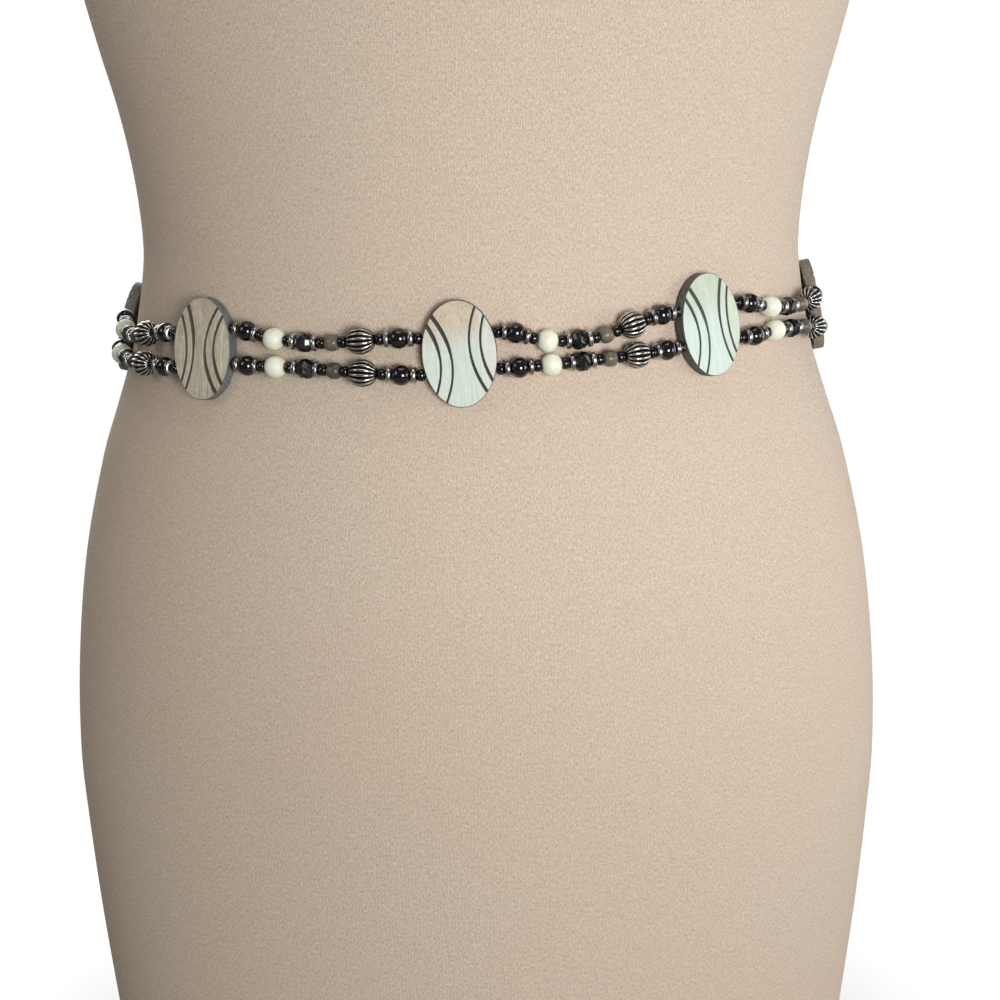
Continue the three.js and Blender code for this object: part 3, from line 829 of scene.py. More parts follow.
@dataclass
class DressForm:
    """A limbless form on its flat base, under a cover of fine jersey."""

    base_edge: float = 6.0
    neck_edge: float = 8.0
    bust_out: float = 17.0
    bust_level: float = 582.0
    bust_across: float = 124.0
    bust_along: float = 62.0
    belt_level: float = 370.0
    belt_lift: float = 4.0
    measure_steps: int = 1440
    slope_step: float = 0.001
    columns: int = 192
    body_rows: int = 170
    edge_rows: int = 8
    cap_rings: int = 6
    knit_round: float = 880.0

    @property
    def top(self) -> float:
        """Height of the neck cap."""
        return FORM_ROWS[-1].z

    def surface(self, angle: Array, z: Array) -> Array:
        """Points of the form.

        A section is an oval with its own depth before and behind the middle plane, x = half sin(angle)
        and y = -depth cos(angle), drawn in at the two rounded edges. The bust is one broad swelling,
        out sqrt(cos(angle)) exp(-(x / across)^4 - ((z - level) / along)^2), on the front half.

        Args:
            angle: Angle round the form from the front's middle towards +X, in radians.
            z: Height above the base.

        Returns:
            A point for each pair.
        """
        angle, z = np.broadcast_arrays(angle, z)
        inset = edge_inset(self.base_edge, z) + edge_inset(self.neck_edge, self.top - z)
        facing = np.cos(angle)
        front = smooth_column(FORM_ROWS, "front", z)
        back = smooth_column(FORM_ROWS, "back", z)
        depth = np.where(facing > 0, front, back) - inset
        x = (smooth_column(FORM_ROWS, "half", z) - inset) * np.sin(angle)
        rise = np.exp(-((x / self.bust_across) ** 4) - ((z - self.bust_level) / self.bust_along) ** 2)
        y = -depth * facing - self.bust_out * np.sqrt(np.clip(facing, 0, None)) * rise
        return np.stack((x, y, z), axis=-1)

    def normal(self, angle: Array, z: Array) -> Array:
        """Outward direction, from the surface's own small steps round and up.

        Args:
            angle: Angle round the form from the front's middle towards +X, in radians.
            z: Height above the base.

        Returns:
            A unit vector for each pair.
        """
        step = self.slope_step
        around = self.surface(angle + step, z) - self.surface(angle - step, z)
        upward = self.surface(angle, z + step) - self.surface(angle, z - step)
        return unit(np.cross(around, upward))

    @cached_property
    def belt_line(self) -> tuple[Array, Array]:
        """Angles round the form and the distance along the belt at each, measured a little off the cover.

        Returns:
            The angles and the distances, both from the back's middle on.
        """
        angle = np.linspace(-math.pi, math.pi, self.measure_steps + 1)
        level = np.full_like(angle, self.belt_level)
        flat = unit(self.normal(angle, level) * (1, 1, 0))
        line = self.surface(angle, level) + flat * self.belt_lift
        steps = np.linalg.norm(np.diff(line, axis=0), axis=1)
        return angle, np.concatenate(([0], np.cumsum(steps)))

    @property
    def belt_length(self) -> float:
        """The belt's length once round."""
        return float(self.belt_line[1][-1])

    def seat(self, place: Array, height: Array, lift: Array = 0.0) -> Seat:
        """A seat at a place along the belt.

        Args:
            place: Distance along the belt from the front's middle.
            height: Height above the belt's level.
            lift: Distance out from the cover.

        Returns:
            The seat, or one with a row for each place.
        """
        angles, distances = self.belt_line
        front = distances[self.measure_steps // 2]
        angle = np.interp(np.mod(np.asarray(place, float) + front, distances[-1]), distances, angles)
        z = self.belt_level + np.asarray(height, float)
        out = self.normal(angle, z)
        along = unit(np.cross((0.0, 0.0, 1.0), out))
        origin = self.surface(angle, z) + out * np.asarray(lift, float)[..., None]
        return Seat(origin, along, np.cross(out, along), out)

    def clearance(self, points: Array) -> Array:
        """How far points lie outside the oval section at their height.

        Args:
            points: Points, with their three values last.

        Returns:
            A distance for each point, negative inside.
        """
        x, y, z = np.moveaxis(points, -1, 0)
        half = smooth_column(FORM_ROWS, "half", z)
        depth = np.where(y < 0, smooth_column(FORM_ROWS, "front", z), smooth_column(FORM_ROWS, "back", z))
        level = np.hypot(x / half, y / depth)
        slope = np.hypot(x / half**2, y / depth**2) / level
        return (level - 1) / slope

    def build_cover(self) -> bpy.types.Object:
        """The cover: rings of the form's surface from the base to the neck, closed flat at both ends.

        Returns:
            The piece.
        """
        arc = np.linspace(0, math.pi / 2, self.edge_rows, endpoint=False)
        low = self.base_edge * (1 - np.cos(arc))
        high = self.top - self.neck_edge * (1 - np.sin(arc))
        body = np.linspace(self.base_edge, self.top - self.neck_edge, self.body_rows, endpoint=False)
        levels = np.concatenate((low, body, high, [self.top]))
        angle = np.linspace(0, 2 * math.pi, self.columns, endpoint=False)
        wall = self.surface(angle[None, :], levels[:, None])
        shares = np.linspace(0, 1, self.cap_rings, endpoint=False)[1:, None, None]
        centre = wall.mean(axis=1)
        base_cap = centre[0] + (wall[0] - centre[0]) * shares
        neck_cap = centre[-1] + (wall[-1] - centre[-1]) * shares[::-1]
        rings = np.concatenate((base_cap, wall, neck_cap))
        reach = np.linalg.norm(np.diff(rings[:, 0], axis=0), axis=1)
        along = np.concatenate(([0], np.cumsum(reach)))
        shape = closed_rings(rings)
        shape.chart["knit"] = ring_chart(len(rings), self.columns, self.knit_round, along)
        piece = shape.build("cover", StretchJersey("stretch_jersey"), Slot.FORM_COVER)
        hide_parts("dress_form")
        return piece


class Line(NamedTuple):
    """A carved line: its place across, the height of its bend, and its bow at 15 mm from there.

    Swell is the share by which it grows wider towards the top, or where negative towards the bottom.
    """

    place: float
    bend: float
    bow: float
    swell: float


CARVED_LINES = (
    Line(-7.3, -3, -4.4, 0.85),
    Line(-3, -4, -4, 0.85),
    Line(3.9, 3, 3.7, -0.35),
    Line(8.1, 3, 4, -0.35),
)
UPRIGHT_LINES = (
    Line(-7.7, 0, -3.3, 0.1),
    Line(-4.1, 1.4, -2.9, 0.7),
    Line(1.5, -0.9, 5, -0.6),
    Line(5.8, -0.4, 5.7, -0.5),
)
OPEN_LINES = (
    Line(-6.6, -3, -4.6, 0.4),
    Line(-2.2, -4, -3.8, 0.7),
    Line(4.4, 1.5, 2.7, 0.5),
    Line(8.1, 1, 2.7, 0.1),
)


@dataclass
class Medallion:
    """An oval wooden slice with four carved lines, threaded crosswise on both strands."""

    number: int
    place: float
    height: float
    lean: float
    finish: PaintedWood
    turn: float = 0.0
    drill: float = 0.0
    line_shift: float = 0.0
    lines: Sequence[Line] = CARVED_LINES
    half_width: float = 14.0
    half_height: float = 20.0
    thickness: float = 4.7
    hole_height: float = 6.9
    edge: float = 0.35
    line_width: float = 0.95
    line_depth: float = 0.6
    swell_from: float = -3.0
    swell_to: float = 8.0
    bow_span: float = 15.0
    notch_reach: float = 1.4
    back_shares: Sequence[float] = (0.7, 0.4, 0.15)
    gap: float = 0.4
    probe_insets: Sequence[float] = (0.0, 2.5, 5.0, 7.5, 10.0)
    probe_steps: int = 40
    seat_rounds: int = 4
    rows: int = 136
    columns: int = 140
    edge_steps: int = 4
    seat: Seat = field(init=False)

    def set_on(self, form: DressForm) -> None:
        """Seat the back face so that its rim, ovals inside it and its middle just clear the form.

        Args:
            form: The form that carries it.
        """
        seat = form.seat(self.place, self.height).leaning(self.lean).turned(self.turn)
        angle = np.linspace(0, 2 * math.pi, self.probe_steps, endpoint=False)
        inset = np.array(self.probe_insets)[:, None]
        along = np.append((self.half_width - inset) * np.cos(angle), 0)
        up = np.append((self.half_height - inset) * np.sin(angle), 0)
        for _ in range(self.seat_rounds):
            least = form.clearance(seat.world(along, up, 0.0)).min()
            seat = seat.lifted(self.gap - least)
        self.seat = seat

    def carving(self, along: Array, up: Array) -> Array:
        """Depth of the carved lines as a share of the deepest.

        Each line runs at place + shift + bow ((up - bend) / span)^2. Its section is a V with a soft
        bottom, 1 - distance / half width, where the half width grows towards one end of the line.

        Args:
            along: Places across the face.
            up: Places up the face.

        Returns:
            A share from 0 to 1 for each place.
        """
        deepest = np.zeros_like(along)
        for line in self.lines:
            share = (up - line.bend) / self.bow_span
            middle = line.place + self.line_shift + line.bow * share**2
            slope = 2 * line.bow * share / self.bow_span
            away = np.abs(along - middle) / np.sqrt(1 + slope**2)
            towards = up * math.copysign(1, line.swell)
            wide = 1 + abs(line.swell) * smoothstep(self.swell_from, self.swell_to, towards)
            cut = np.clip(1 - away / (self.line_width / 2 * wide), 0, 1)
            deepest = np.maximum(deepest, cut * (2 - cut))
        return deepest

    def face_places(self) -> tuple[Array, Array]:
        """Where the face's points lie: rows from side to side between one lowest and one highest point.

        A row is along = width share cos(angle) and up = height sin(angle), inside the rounded edge.

        Returns:
            The places along and up.
        """
        angle = np.linspace(-math.pi / 2, math.pi / 2, self.rows + 1)[1:-1, None]
        share = np.linspace(-1, 1, self.columns + 1)
        wide = self.half_width - self.edge
        tall = self.half_height - self.edge
        along = wide * np.cos(angle) * share
        up = np.broadcast_to(tall * np.sin(angle), along.shape)
        return np.concatenate(([0], along.ravel(), [0])), np.concatenate(([-tall], up.ravel(), [tall]))

    def face_cells(self) -> list[Array]:
        """Faces between the rows of the carved face.

        Returns:
            The four-cornered ones, the lowest point's fan and the highest point's.
        """
        width = self.columns + 1
        low = np.arange(self.rows - 2)[:, None] * width + 1 + np.arange(self.columns)
        quads = np.stack((low, low + 1, low + width + 1, low + width), axis=-1).reshape(-1, 4)
        step = np.arange(self.columns)
        last_row = 1 + (self.rows - 2) * width
        top = np.full_like(step, last_row + width)
        under = np.stack((np.zeros_like(step), step + 2, step + 1), axis=-1)
        over = np.stack((last_row + step, last_row + step + 1, top), axis=-1)
        return [quads, under, over]

    def face_outline(self) -> Array:
        """Numbers of the points round the carved face.

        Returns:
            The numbers, anticlockwise from the lowest point.
        """
        width = self.columns + 1
        left = 1 + np.arange(self.rows - 1) * width
        top = 1 + (self.rows - 1) * width
        return np.concatenate(([0], left + self.columns, [top], left[::-1]))

    def rim_rings(self, count: int) -> Array:
        """Rings from the face's outline down: a quarter circle, the side, a quarter circle, and ovals.

        The ovals close the flat back. Where a line runs out at the rim it leaves a notch, which fades
        by 1 - down / reach.

        Args:
            count: Points in a ring.

        Returns:
            Points as (ring, place in the ring, 3), in the seat's directions.
        """
        turn = -math.pi / 2 + np.arange(count) * 2 * math.pi / count
        arc = np.linspace(0, math.pi / 2, self.edge_steps + 1)
        drawn_in = self.edge * (1 - np.sin(arc))
        fallen = self.edge * (1 - np.cos(arc))
        inset = np.concatenate((drawn_in[1:], fallen))[:, None]
        down = np.concatenate((fallen[1:], self.thickness - drawn_in))
        along = (self.half_width - inset) * np.cos(turn)
        up = (self.half_height - inset) * np.sin(turn)
        shares = np.array(self.back_shares)[:, None]
        along = np.concatenate((along, along[-1] * shares))
        up = np.concatenate((up, up[-1] * shares))
        down = np.concatenate((down, np.full(len(shares), self.thickness)))[:, None]
        notch = self.carving(along, up) * self.line_depth * np.clip(1 - down / self.notch_reach, 0, 1)
        return np.stack((along, up, self.thickness - down - notch), axis=-1)

    def shape(self) -> Shape:
        """The carved face, the rim hung from its outline, and a fan that closes the back.

        Returns:
            The closed shape, with each point's own place, its carving and whether it is on the rim.
        """
        along, up = self.face_places()
        carve = self.carving(along, up)
        face = np.stack((along, up, self.thickness - self.line_depth * carve), axis=-1)
        outline = self.face_outline()
        rings = self.rim_rings(len(outline))
        numbers = len(face) + np.arange(len(rings) * len(outline)).reshape(len(rings), -1)
        strip = np.concatenate((outline[None, :], numbers))
        beside = np.roll(strip, -1, axis=1)
        walls = np.stack((strip[:-1], strip[1:], beside[1:], beside[:-1]), axis=-1).reshape(-1, 4)
        centre = np.full(len(outline), numbers[-1, -1] + 1)
        close = np.stack((centre, beside[-1], strip[-1]), axis=-1)
        local = np.concatenate((face, rings.reshape(-1, 3), [[0, 0, 0]]))
        rest = len(local) - len(face)
        fields = {
            "spot": local,
            "carve": np.concatenate((carve, np.zeros(rest))),
            "side": np.repeat((0.0, 1.0), (len(face), rest)),
        }
        return Shape(self.seat.world(*local.T), [*self.face_cells(), walls, close], fields)

    def hole(self, level: int, side: int, clear: float) -> Hole:
        """Where a thread leaves the rim.

        A hole drilled at a slant comes out higher on the right by tan(drill) for each millimetre across.

        Args:
            level: 1 for the upper strand and -1 for the lower.
            side: 1 for the side towards +X and -1 for the other.
            clear: Gap between the rim and the strand's end.

        Returns:
            The hole.
        """
        up = level * self.hole_height + side * self.half_width * math.tan(math.radians(self.drill))
        reach = side * (self.half_width * math.sqrt(1 - (up / self.half_height) ** 2) + clear)
        cos = math.cos(math.radians(self.lean))
        sin = math.sin(math.radians(self.lean))
        point = self.seat.world(reach, up, self.thickness / 2)
        return Hole(point, self.place + reach * cos - up * sin, self.height + reach * sin + up * cos)

    def build(self) -> bpy.types.Object:
        """Build the medallion in place of its solid.

        Returns:
            The piece.
        """
        piece = self.shape().build(f"carved_medallion_{self.number}", self.finish, Slot.PAINTED_WOOD)
        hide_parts(f"medallion_{self.number}")
        return piece


@dataclass
class Hole:
    """Where a thread enters a medallion or a bar: the point, its place along the belt and its height."""

    point: Array
    place: float
    height: float


class Kind(Enum):
    """The kinds of bead on the strands."""

    SMALL = "small"
    DISC = "disc"
    ROUND = "round"
    PALE = "pale"
    CUT = "cut"
    BARREL = "barrel"
    MELON = "melon"


@dataclass(frozen=True)
class Bead:
    """One kind of bead, turned round its hole.

    Half of its outline runs from one end of the hole to the other: along = half length times
    sign(sin t) |sin t|^end_power, and radius = hole + (radius - hole) |cos t|^side_power.
    """

    length: float
    diameter: float
    rests: bool
    sides: int
    steps: int = 16
    end_power: float = 1.0
    side_power: float = 0.85
    hole: float = 0.6
    tilt: float = 0.0
    ribs: int = 0
    rib_share: float = 0.0
    rib_from: float = 0.45
    rib_to: float = 0.95
    relief_gain: float = 2.2

    def template(self) -> Shape:
        """The bead round its own axis, from -1 to 1 along it, with its diameter in millimetres.

        Points are (share along, across, out). The hole's wall joins the last ring to the first, so the
        bead is closed. Ribs lift the radius to full where |cos(ribs turn / 2)| is near 1.

        Returns:
            The bead, with its relief and each point's place along the hole.
        """
        t = np.linspace(-math.pi / 2, math.pi / 2, self.steps + 1)[:, None]
        turn = np.linspace(0, 2 * math.pi, self.sides, endpoint=False)[None, :]
        along = np.sign(np.sin(t)) * np.abs(np.sin(t)) ** self.end_power
        bulge = np.clip(np.cos(t), 0, 1) ** self.side_power
        crest = np.ones_like(turn)
        if self.ribs:
            crest = smoothstep(self.rib_from, self.rib_to, np.abs(np.cos(self.ribs * turn / 2)))
        full = self.diameter / 2 * (1 - self.rib_share * (1 - crest))
        radius = self.hole + (full - self.hole) * bulge
        along, radius, crest = np.broadcast_arrays(along, radius, crest)
        points = np.stack((along, radius * np.sin(turn), radius * np.cos(turn)), axis=-1)
        fields = {"relief": (crest * np.clip(bulge * self.relief_gain, 0, 1)).ravel(),
                  "axis": (along * self.length / 2).ravel()}
        faces = grid_faces(self.steps + 1, self.sides, wrap_rows=True)[:, ::-1]
        return Shape(points.reshape(-1, 3), [faces], fields)


class CutRow(NamedTuple):
    """A ring of corners on a cut bead: its share along, its share of the radius, its turn in facets."""

    along: float
    radius: float
    turn: float


CUT_ROWS = (
    CutRow(-1, 0.2, 0),
    CutRow(-1, 0.6, 0),
    CutRow(-0.52, 0.94, 0),
    CutRow(0, 1, 0.5),
    CutRow(0.52, 0.94, 0),
    CutRow(1, 0.6, 0),
    CutRow(1, 0.2, 0),
)


@dataclass(frozen=True)
class CutBead(Bead):
    """A faceted bead: rings of corners, the middle one turned by half a facet."""

    def template(self) -> Shape:
        """The rings of the table, joined by triangles on both sides of the middle one.

        Returns:
            The bead, with the same fields as a turned one.
        """
        rows = np.array(CUT_ROWS)
        turn = (np.arange(self.sides)[None, :] + rows[:, 2:3]) * 2 * math.pi / self.sides
        radius = rows[:, 1:2] * self.diameter / 2
        along = np.broadcast_to(rows[:, 0:1], turn.shape)
        points = np.stack((along, radius * np.sin(turn), radius * np.cos(turn)), axis=-1)
        quads = grid_faces(len(rows), self.sides, wrap_rows=True)[:, ::-1]
        ring = np.repeat(np.arange(len(rows)), self.sides)
        middle = len(rows) // 2
        rising = quads[ring == middle - 1]
        falling = quads[ring == middle]
        plain = quads[(ring != middle - 1) & (ring != middle)]
        halves = np.concatenate((rising[:, [0, 1, 3]], rising[:, [1, 2, 3]],
                                 falling[:, [0, 1, 2]], falling[:, [0, 2, 3]]))
        flat = np.zeros(points.shape[0] * points.shape[1])
        return Shape(points.reshape(-1, 3), [plain, halves], {"relief": flat, "axis": flat})


BEADS: dict[Kind, Bead] = {
    Kind.SMALL: Bead(3.0, 4.7, rests=False, sides=20, steps=10, end_power=0.85, side_power=0.5),
    Kind.DISC: Bead(2.1, 6.5, rests=False, sides=36, steps=14, end_power=0.9, side_power=0.3, tilt=4.0),
    Kind.ROUND: Bead(6.8, 7.9, rests=True, sides=32),
    Kind.PALE: Bead(7.9, 8.6, rests=True, sides=32, side_power=0.95),
    Kind.CUT: CutBead(6.6, 7.7, rests=True, sides=10),
    Kind.BARREL: Bead(5.4, 6.4, rests=False, sides=28, steps=14, end_power=0.9, side_power=0.6),
    Kind.MELON: Bead(10.4, 10.4, rests=True, sides=120, steps=24, side_power=0.9, ribs=15, rib_share=0.12),
}


class Dress(NamedTuple):
    """What all beads of one kind are called and made of."""

    name: str
    finish: Finish
    slot: Slot


DRESSES: dict[Kind, Dress] = {
    Kind.SMALL: Dress("small_beads", BlackGlass("black_glass"), Slot.BLACK_BEAD),
    Kind.DISC: Dress("disc_beads", PolishedPewter("polished_pewter"), Slot.PEWTER),
    Kind.ROUND: Dress("round_beads", BlackGlass("black_glass_round", ior=1.7), Slot.BLACK_BEAD),
    Kind.PALE: Dress("pale_beads", DyedStone("dyed_stone"), Slot.PALE_BEAD),
    Kind.CUT: Dress("cut_beads", Hematite("cut_hematite"), Slot.BLACK_BEAD),
    Kind.BARREL: Dress("barrel_beads", TurnedNut("turned_nut"), Slot.BROWN_BEAD),
    Kind.MELON: Dress("melon_beads", OxidisedMetal("oxidised_silver"), Slot.PEWTER),
}
RUN_START = (Kind.SMALL, Kind.DISC, Kind.ROUND, Kind.DISC, Kind.SMALL)
RUN_MIDDLE = (Kind.PALE, Kind.SMALL, Kind.DISC, Kind.CUT, Kind.DISC, Kind.SMALL, Kind.BARREL, Kind.SMALL)
FULL_RUN = (*RUN_START, *RUN_MIDDLE, Kind.MELON, *RUN_START)
END_RUN = (*RUN_START, *RUN_MIDDLE, *RUN_START[1:])


@dataclass
class Strand:
    """One thread with its beads between two holes."""

    form: DressForm
    run: Sequence[Kind]
    start: Hole
    end: Hole
    sag: float
    clearance: float = 0.4
    end_lift: float = 2.75
    end_fade: float = 7.0
    close_up: float = 0.5
    tuck: float = 1.6
    probe: float = 0.5
    thread_radius: float = 0.45
    thread_sides: int = 10
    thread_step: float = 1.6

    @cached_property
    def places(self) -> tuple[Array, Array]:
        """The middle and the length of each bead, stretched alike so that they fill the strand.

        Returns:
            The middles along the belt and the lengths.
        """
        nominal = np.array([BEADS[kind].length for kind in self.run])
        low = self.start.place - self.close_up
        high = self.end.place + self.close_up
        lengths = nominal * (high - low) / nominal.sum()
        return low + np.cumsum(lengths) - lengths / 2, lengths

    def lift(self, place: Array) -> Array:
        """Height of the thread above the cover: smooth steps from one resting bead to the next.

        The second bead from each hole rests too.

        Args:
            place: Distances along the belt.

        Returns:
            A height for each place.
        """
        middles, _ = self.places
        next_to_hole = (1, len(self.run) - 2)
        resting = [i for i, kind in enumerate(self.run) if BEADS[kind].rests or i in next_to_hole]
        knots = np.array([self.start.place, *middles[resting], self.end.place])
        radii = [BEADS[self.run[i]].diameter / 2 + self.clearance for i in resting]
        lifts = np.array([self.end_lift, *radii, self.end_lift])
        within = np.clip(place, knots[0], knots[-1])
        before = np.clip(np.searchsorted(knots, within, side="left") - 1, 0, len(knots) - 2)
        t = (within - knots[before]) / (knots[before + 1] - knots[before])
        return lifts[before] + (lifts[before + 1] - lifts[before]) * t * t * (3 - 2 * t)

    def on_form(self, place: Array) -> Seat:
        """The strand's line laid on the form, before its ends are drawn to the holes.

        Args:
            place: Distances along the belt.

        Returns:
            A seat for each place.
        """
        share = (place - self.start.place) / (self.end.place - self.start.place)
        bow = self.sag * smooth_column(SAG_ROWS, "share", np.clip(share, 0, 1))
        height = self.start.height + (self.end.height - self.start.height) * share + bow
        return self.form.seat(place, height, self.lift(place))

    def thread(self, place: Array) -> Array:
        """The thread's middle line.

        Near an end it is moved by what the laid line misses the hole by, faded by exp(-(distance / fade)^2).

        Args:
            place: Distances along the belt.

        Returns:
            A point for each place.
        """
        ends = self.on_form(np.array([self.start.place, self.end.place])).origin
        near_start = np.exp(-(((place - self.start.place) / self.end_fade) ** 2))[:, None]
        near_end = np.exp(-(((self.end.place - place) / self.end_fade) ** 2))[:, None]
        laid = self.on_form(place).origin
        return laid + (self.start.point - ends[0]) * near_start + (self.end.point - ends[1]) * near_end

    def axes(self, place: Array) -> tuple[Array, Array, Array]:
        """Directions along the thread, across it and out, at each place.

        Args:
            place: Distances along the belt.

        Returns:
            Three unit vectors for each place.
        """
        forward = unit(self.thread(place + self.probe) - self.thread(place - self.probe))
        out = self.on_form(place).out
        out = unit(out - forward * np.sum(out * forward, axis=-1, keepdims=True))
        return forward, np.cross(forward, out), out

    def tube(self) -> Shape:
        """The thread as a tube of rings square to it, tucked into the holes and closed by fans.

        Returns:
            The tube, with its map.
        """
        low = self.start.place - self.tuck
        high = self.end.place + self.tuck
        place = np.linspace(low, high, int((high - low) / self.thread_step) + 1)
        forward, across, out = self.axes(place)
        turn = np.linspace(0, 2 * math.pi, self.thread_sides, endpoint=False)[None, :, None]
        spokes = np.cos(turn) * out[:, None] + np.sin(turn) * across[:, None]
        rings = self.thread(place)[:, None] + spokes * self.thread_radius
        girth = 2 * math.pi * self.thread_radius
        shape = closed_rings(rings)
        shape.chart["tube"] = ring_chart(len(rings), self.thread_sides, girth, place - low)
        return shape

    def beads(self, kind: Kind, random: np.random.Generator) -> Shape:
        """All beads of one kind on the strand.

        Each copy of the template is turned about the thread and tipped a little, then set at
        middle + share half length forward + across + out.

        Args:
            kind: The kind of bead.
            random: Source of turns, tips and tones.

        Returns:
            The beads in one shape.
        """
        middles, lengths = self.places
        chosen = np.array([i for i, other in enumerate(self.run) if other is kind], int)
        bead = BEADS[kind]
        halves = lengths[chosen] / 2
        centres = middles[chosen]
        count = len(centres)
        template = bead.template()
        forward, across, out = self.axes(centres)
        spin = random.uniform(0, 2 * math.pi, count)[:, None]
        turned = across * np.cos(spin) + out * np.sin(spin)
        other = np.cross(forward, turned)
        tip = np.radians(random.uniform(-bead.tilt, bead.tilt, count))[:, None]
        leaning = forward * np.cos(tip) + turned * np.sin(tip)
        turned = turned * np.cos(tip) - forward * np.sin(tip)
        local = template.points
        points = (self.thread(centres)[:, None]
                  + (local[None, :, 0:1] * halves[:, None, None]) * leaning[:, None]
                  + local[None, :, 1:2] * turned[:, None]
                  + local[None, :, 2:3] * other[:, None])
        size = len(local)
        starts = (np.arange(count) * size)[:, None, None]
        faces = [(block[None] + starts).reshape(-1, block.shape[1]) for block in template.faces]
        fields = {key: np.tile(values, count) for key, values in template.fields.items()}
        fields["tone"] = np.repeat(random.uniform(0, 1, count), size)
        return Shape(points.reshape(-1, 3), faces, fields)


@dataclass
class Fastening:
    """The closing at the centre back: a bar for both threads on each side, an eye, a ring and a hook."""

    place: float
    height: float = -0.3
    lift: float = 3.2
    half_length: float = 17.6
    wire: float = 0.8
    bar_length: float = 3.5
    bar_height: float = 16.0
    bar_thickness: float = 3.0
    bar_hole: float = 5.4
    bar_square: float = 0.45
    bar_shoulder: float = 0.35
    bar_taper: float = 0.3
    bar_cap: float = 0.55
    eye_radius: float = 2.1
    eye_reach: float = 2.5
    ring_radius: float = 5.2
    ring_reach: float = 7.9
    hook_radius: float = 2.1
    hook_reach: float = 13.3
    hook_tip: float = 3.6
    hook_shank: float = 4.6
    hook_slope: float = 3.5
    seat: Seat = field(init=False)

    def set_on(self, form: DressForm) -> None:
        """Seat the fastening on the form's back."""
        self.seat = form.seat(self.place, self.height)

    def hole(self, level: int, side: int, clear: float) -> Hole:
        """Where a thread leaves a bar's outer side.

        Args:
            level: 1 for the upper strand and -1 for the lower.
            side: -1 for the bar on the +X side and 1 for the other.
            clear: Gap between the bar and the strand's end.

        Returns:
            The hole.
        """
        reach = side * (self.half_length + clear)
        point = self.seat.world(reach, level * self.bar_hole, self.lift)
        return Hole(point, self.place + reach, self.height + level * self.bar_hole)

    def torus(self, radius: float, reach: float, standing: bool, steps: int = 64, sides: int = 16) -> Shape:
        """A wire ring: (radius + wire cos s) round the circle and wire sin s off its plane.

        Args:
            radius: Radius of the wire's middle line.
            reach: Distance of the centre from the right bar's inner side.
            standing: Whether it stands out from the form, or else lies flat.
            steps: Points round the circle.
            sides: Points round the wire.

        Returns:
            The ring.
        """
        t = np.linspace(0, 2 * math.pi, steps, endpoint=False)[:, None]
        s = np.linspace(0, 2 * math.pi, sides, endpoint=False)[None, :]
        far = radius + self.wire * np.cos(s)
        a, b = far * np.cos(t), far * np.sin(t)
        c = np.broadcast_to(self.wire * np.sin(s), a.shape)
        along = self.inner + reach + a
        up, out = (c, self.lift - b) if standing else (b, self.lift + c)
        points = self.seat.world(along, up, out).reshape(-1, 3)
        return Shape(points, [grid_faces(steps, sides, wrap_rows=True)[:, ::-1]])

    @property
    def inner(self) -> float:
        """Place of the right bar's inner side, from the fastening's middle."""
        return self.bar_length - self.half_length

    def bar(self, side: int, sides: int = 28, steps: int = 10) -> Shape:
        """A soft-edged bar of rings round its upright axis.

        A ring is a rounded square, |cos(turn)|^square by |sin(turn)|^square. At height |sin t|^shoulder it
        is drawn in to the share cos(t)^taper, and each end closes on a flat cap.

        Args:
            side: -1 for the bar on the +X side and 1 for the other.
            sides: Points in a ring.
            steps: Rings in half the height.

        Returns:
            The bar.
        """
        turn = np.linspace(0, 2 * math.pi, sides, endpoint=False)
        a = np.sign(np.cos(turn)) * np.abs(np.cos(turn)) ** self.bar_square * self.bar_length / 2
        b = np.sign(np.sin(turn)) * np.abs(np.sin(turn)) ** self.bar_square * self.bar_thickness / 2
        t = np.linspace(-math.pi / 2, math.pi / 2, 2 * steps + 1)
        up = np.sign(t) * np.abs(np.sin(t)) ** self.bar_shoulder * self.bar_height / 2
        share = np.clip(np.cos(t), 0, 1) ** self.bar_taper
        share[[0, -1]] = self.bar_cap
        along = side * (self.half_length - self.bar_length / 2) + a[None, :] * share[:, None]
        out = self.lift - b[None, :] * share[:, None]
        high = np.broadcast_to(up[:, None], along.shape)
        rings = self.seat.world(along, high, out)
        return closed_rings(rings)

    def hook(self, sides: int = 16, arc_steps: int = 20, rise_steps: int = 8) -> Shape:
        """A wire from the bar, up over the ring, round its far side and back under it to a blunt tip.

        Args:
            sides: Points round the wire.
            arc_steps: Rings in the bend.
            rise_steps: Rings between the shank and the bend.

        Returns:
            The hook.
        """
        start = self.half_length - self.bar_length / 2
        bend = self.inner + self.hook_reach
        radius = self.hook_radius
        slope = np.linspace(0, 1, rise_steps)
        rise_along = bend + self.hook_shank + self.hook_slope * (1 - slope)
        rise_out = radius * slope**2 * (3 - 2 * slope)
        angle = math.pi / 2 + np.linspace(0, math.pi, arc_steps)
        along = np.concatenate(([start], rise_along, bend + radius * np.cos(angle), [bend + self.hook_tip]))
        out = np.concatenate(([0], rise_out, radius * np.sin(angle), [-radius]))
        path = np.stack((along, out), axis=-1)
        forward = unit(np.gradient(path, axis=0))
        turn = np.linspace(0, 2 * math.pi, sides, endpoint=False)
        across = self.wire * np.cos(turn)[None, :]
        lengthwise = path[:, 0:1] - forward[:, 1:2] * across
        outward = self.lift + path[:, 1:2] + forward[:, 0:1] * across
        up = np.broadcast_to(self.wire * np.sin(turn)[None, :], lengthwise.shape)
        return closed_rings(self.seat.world(lengthwise, up, outward)[::-1])

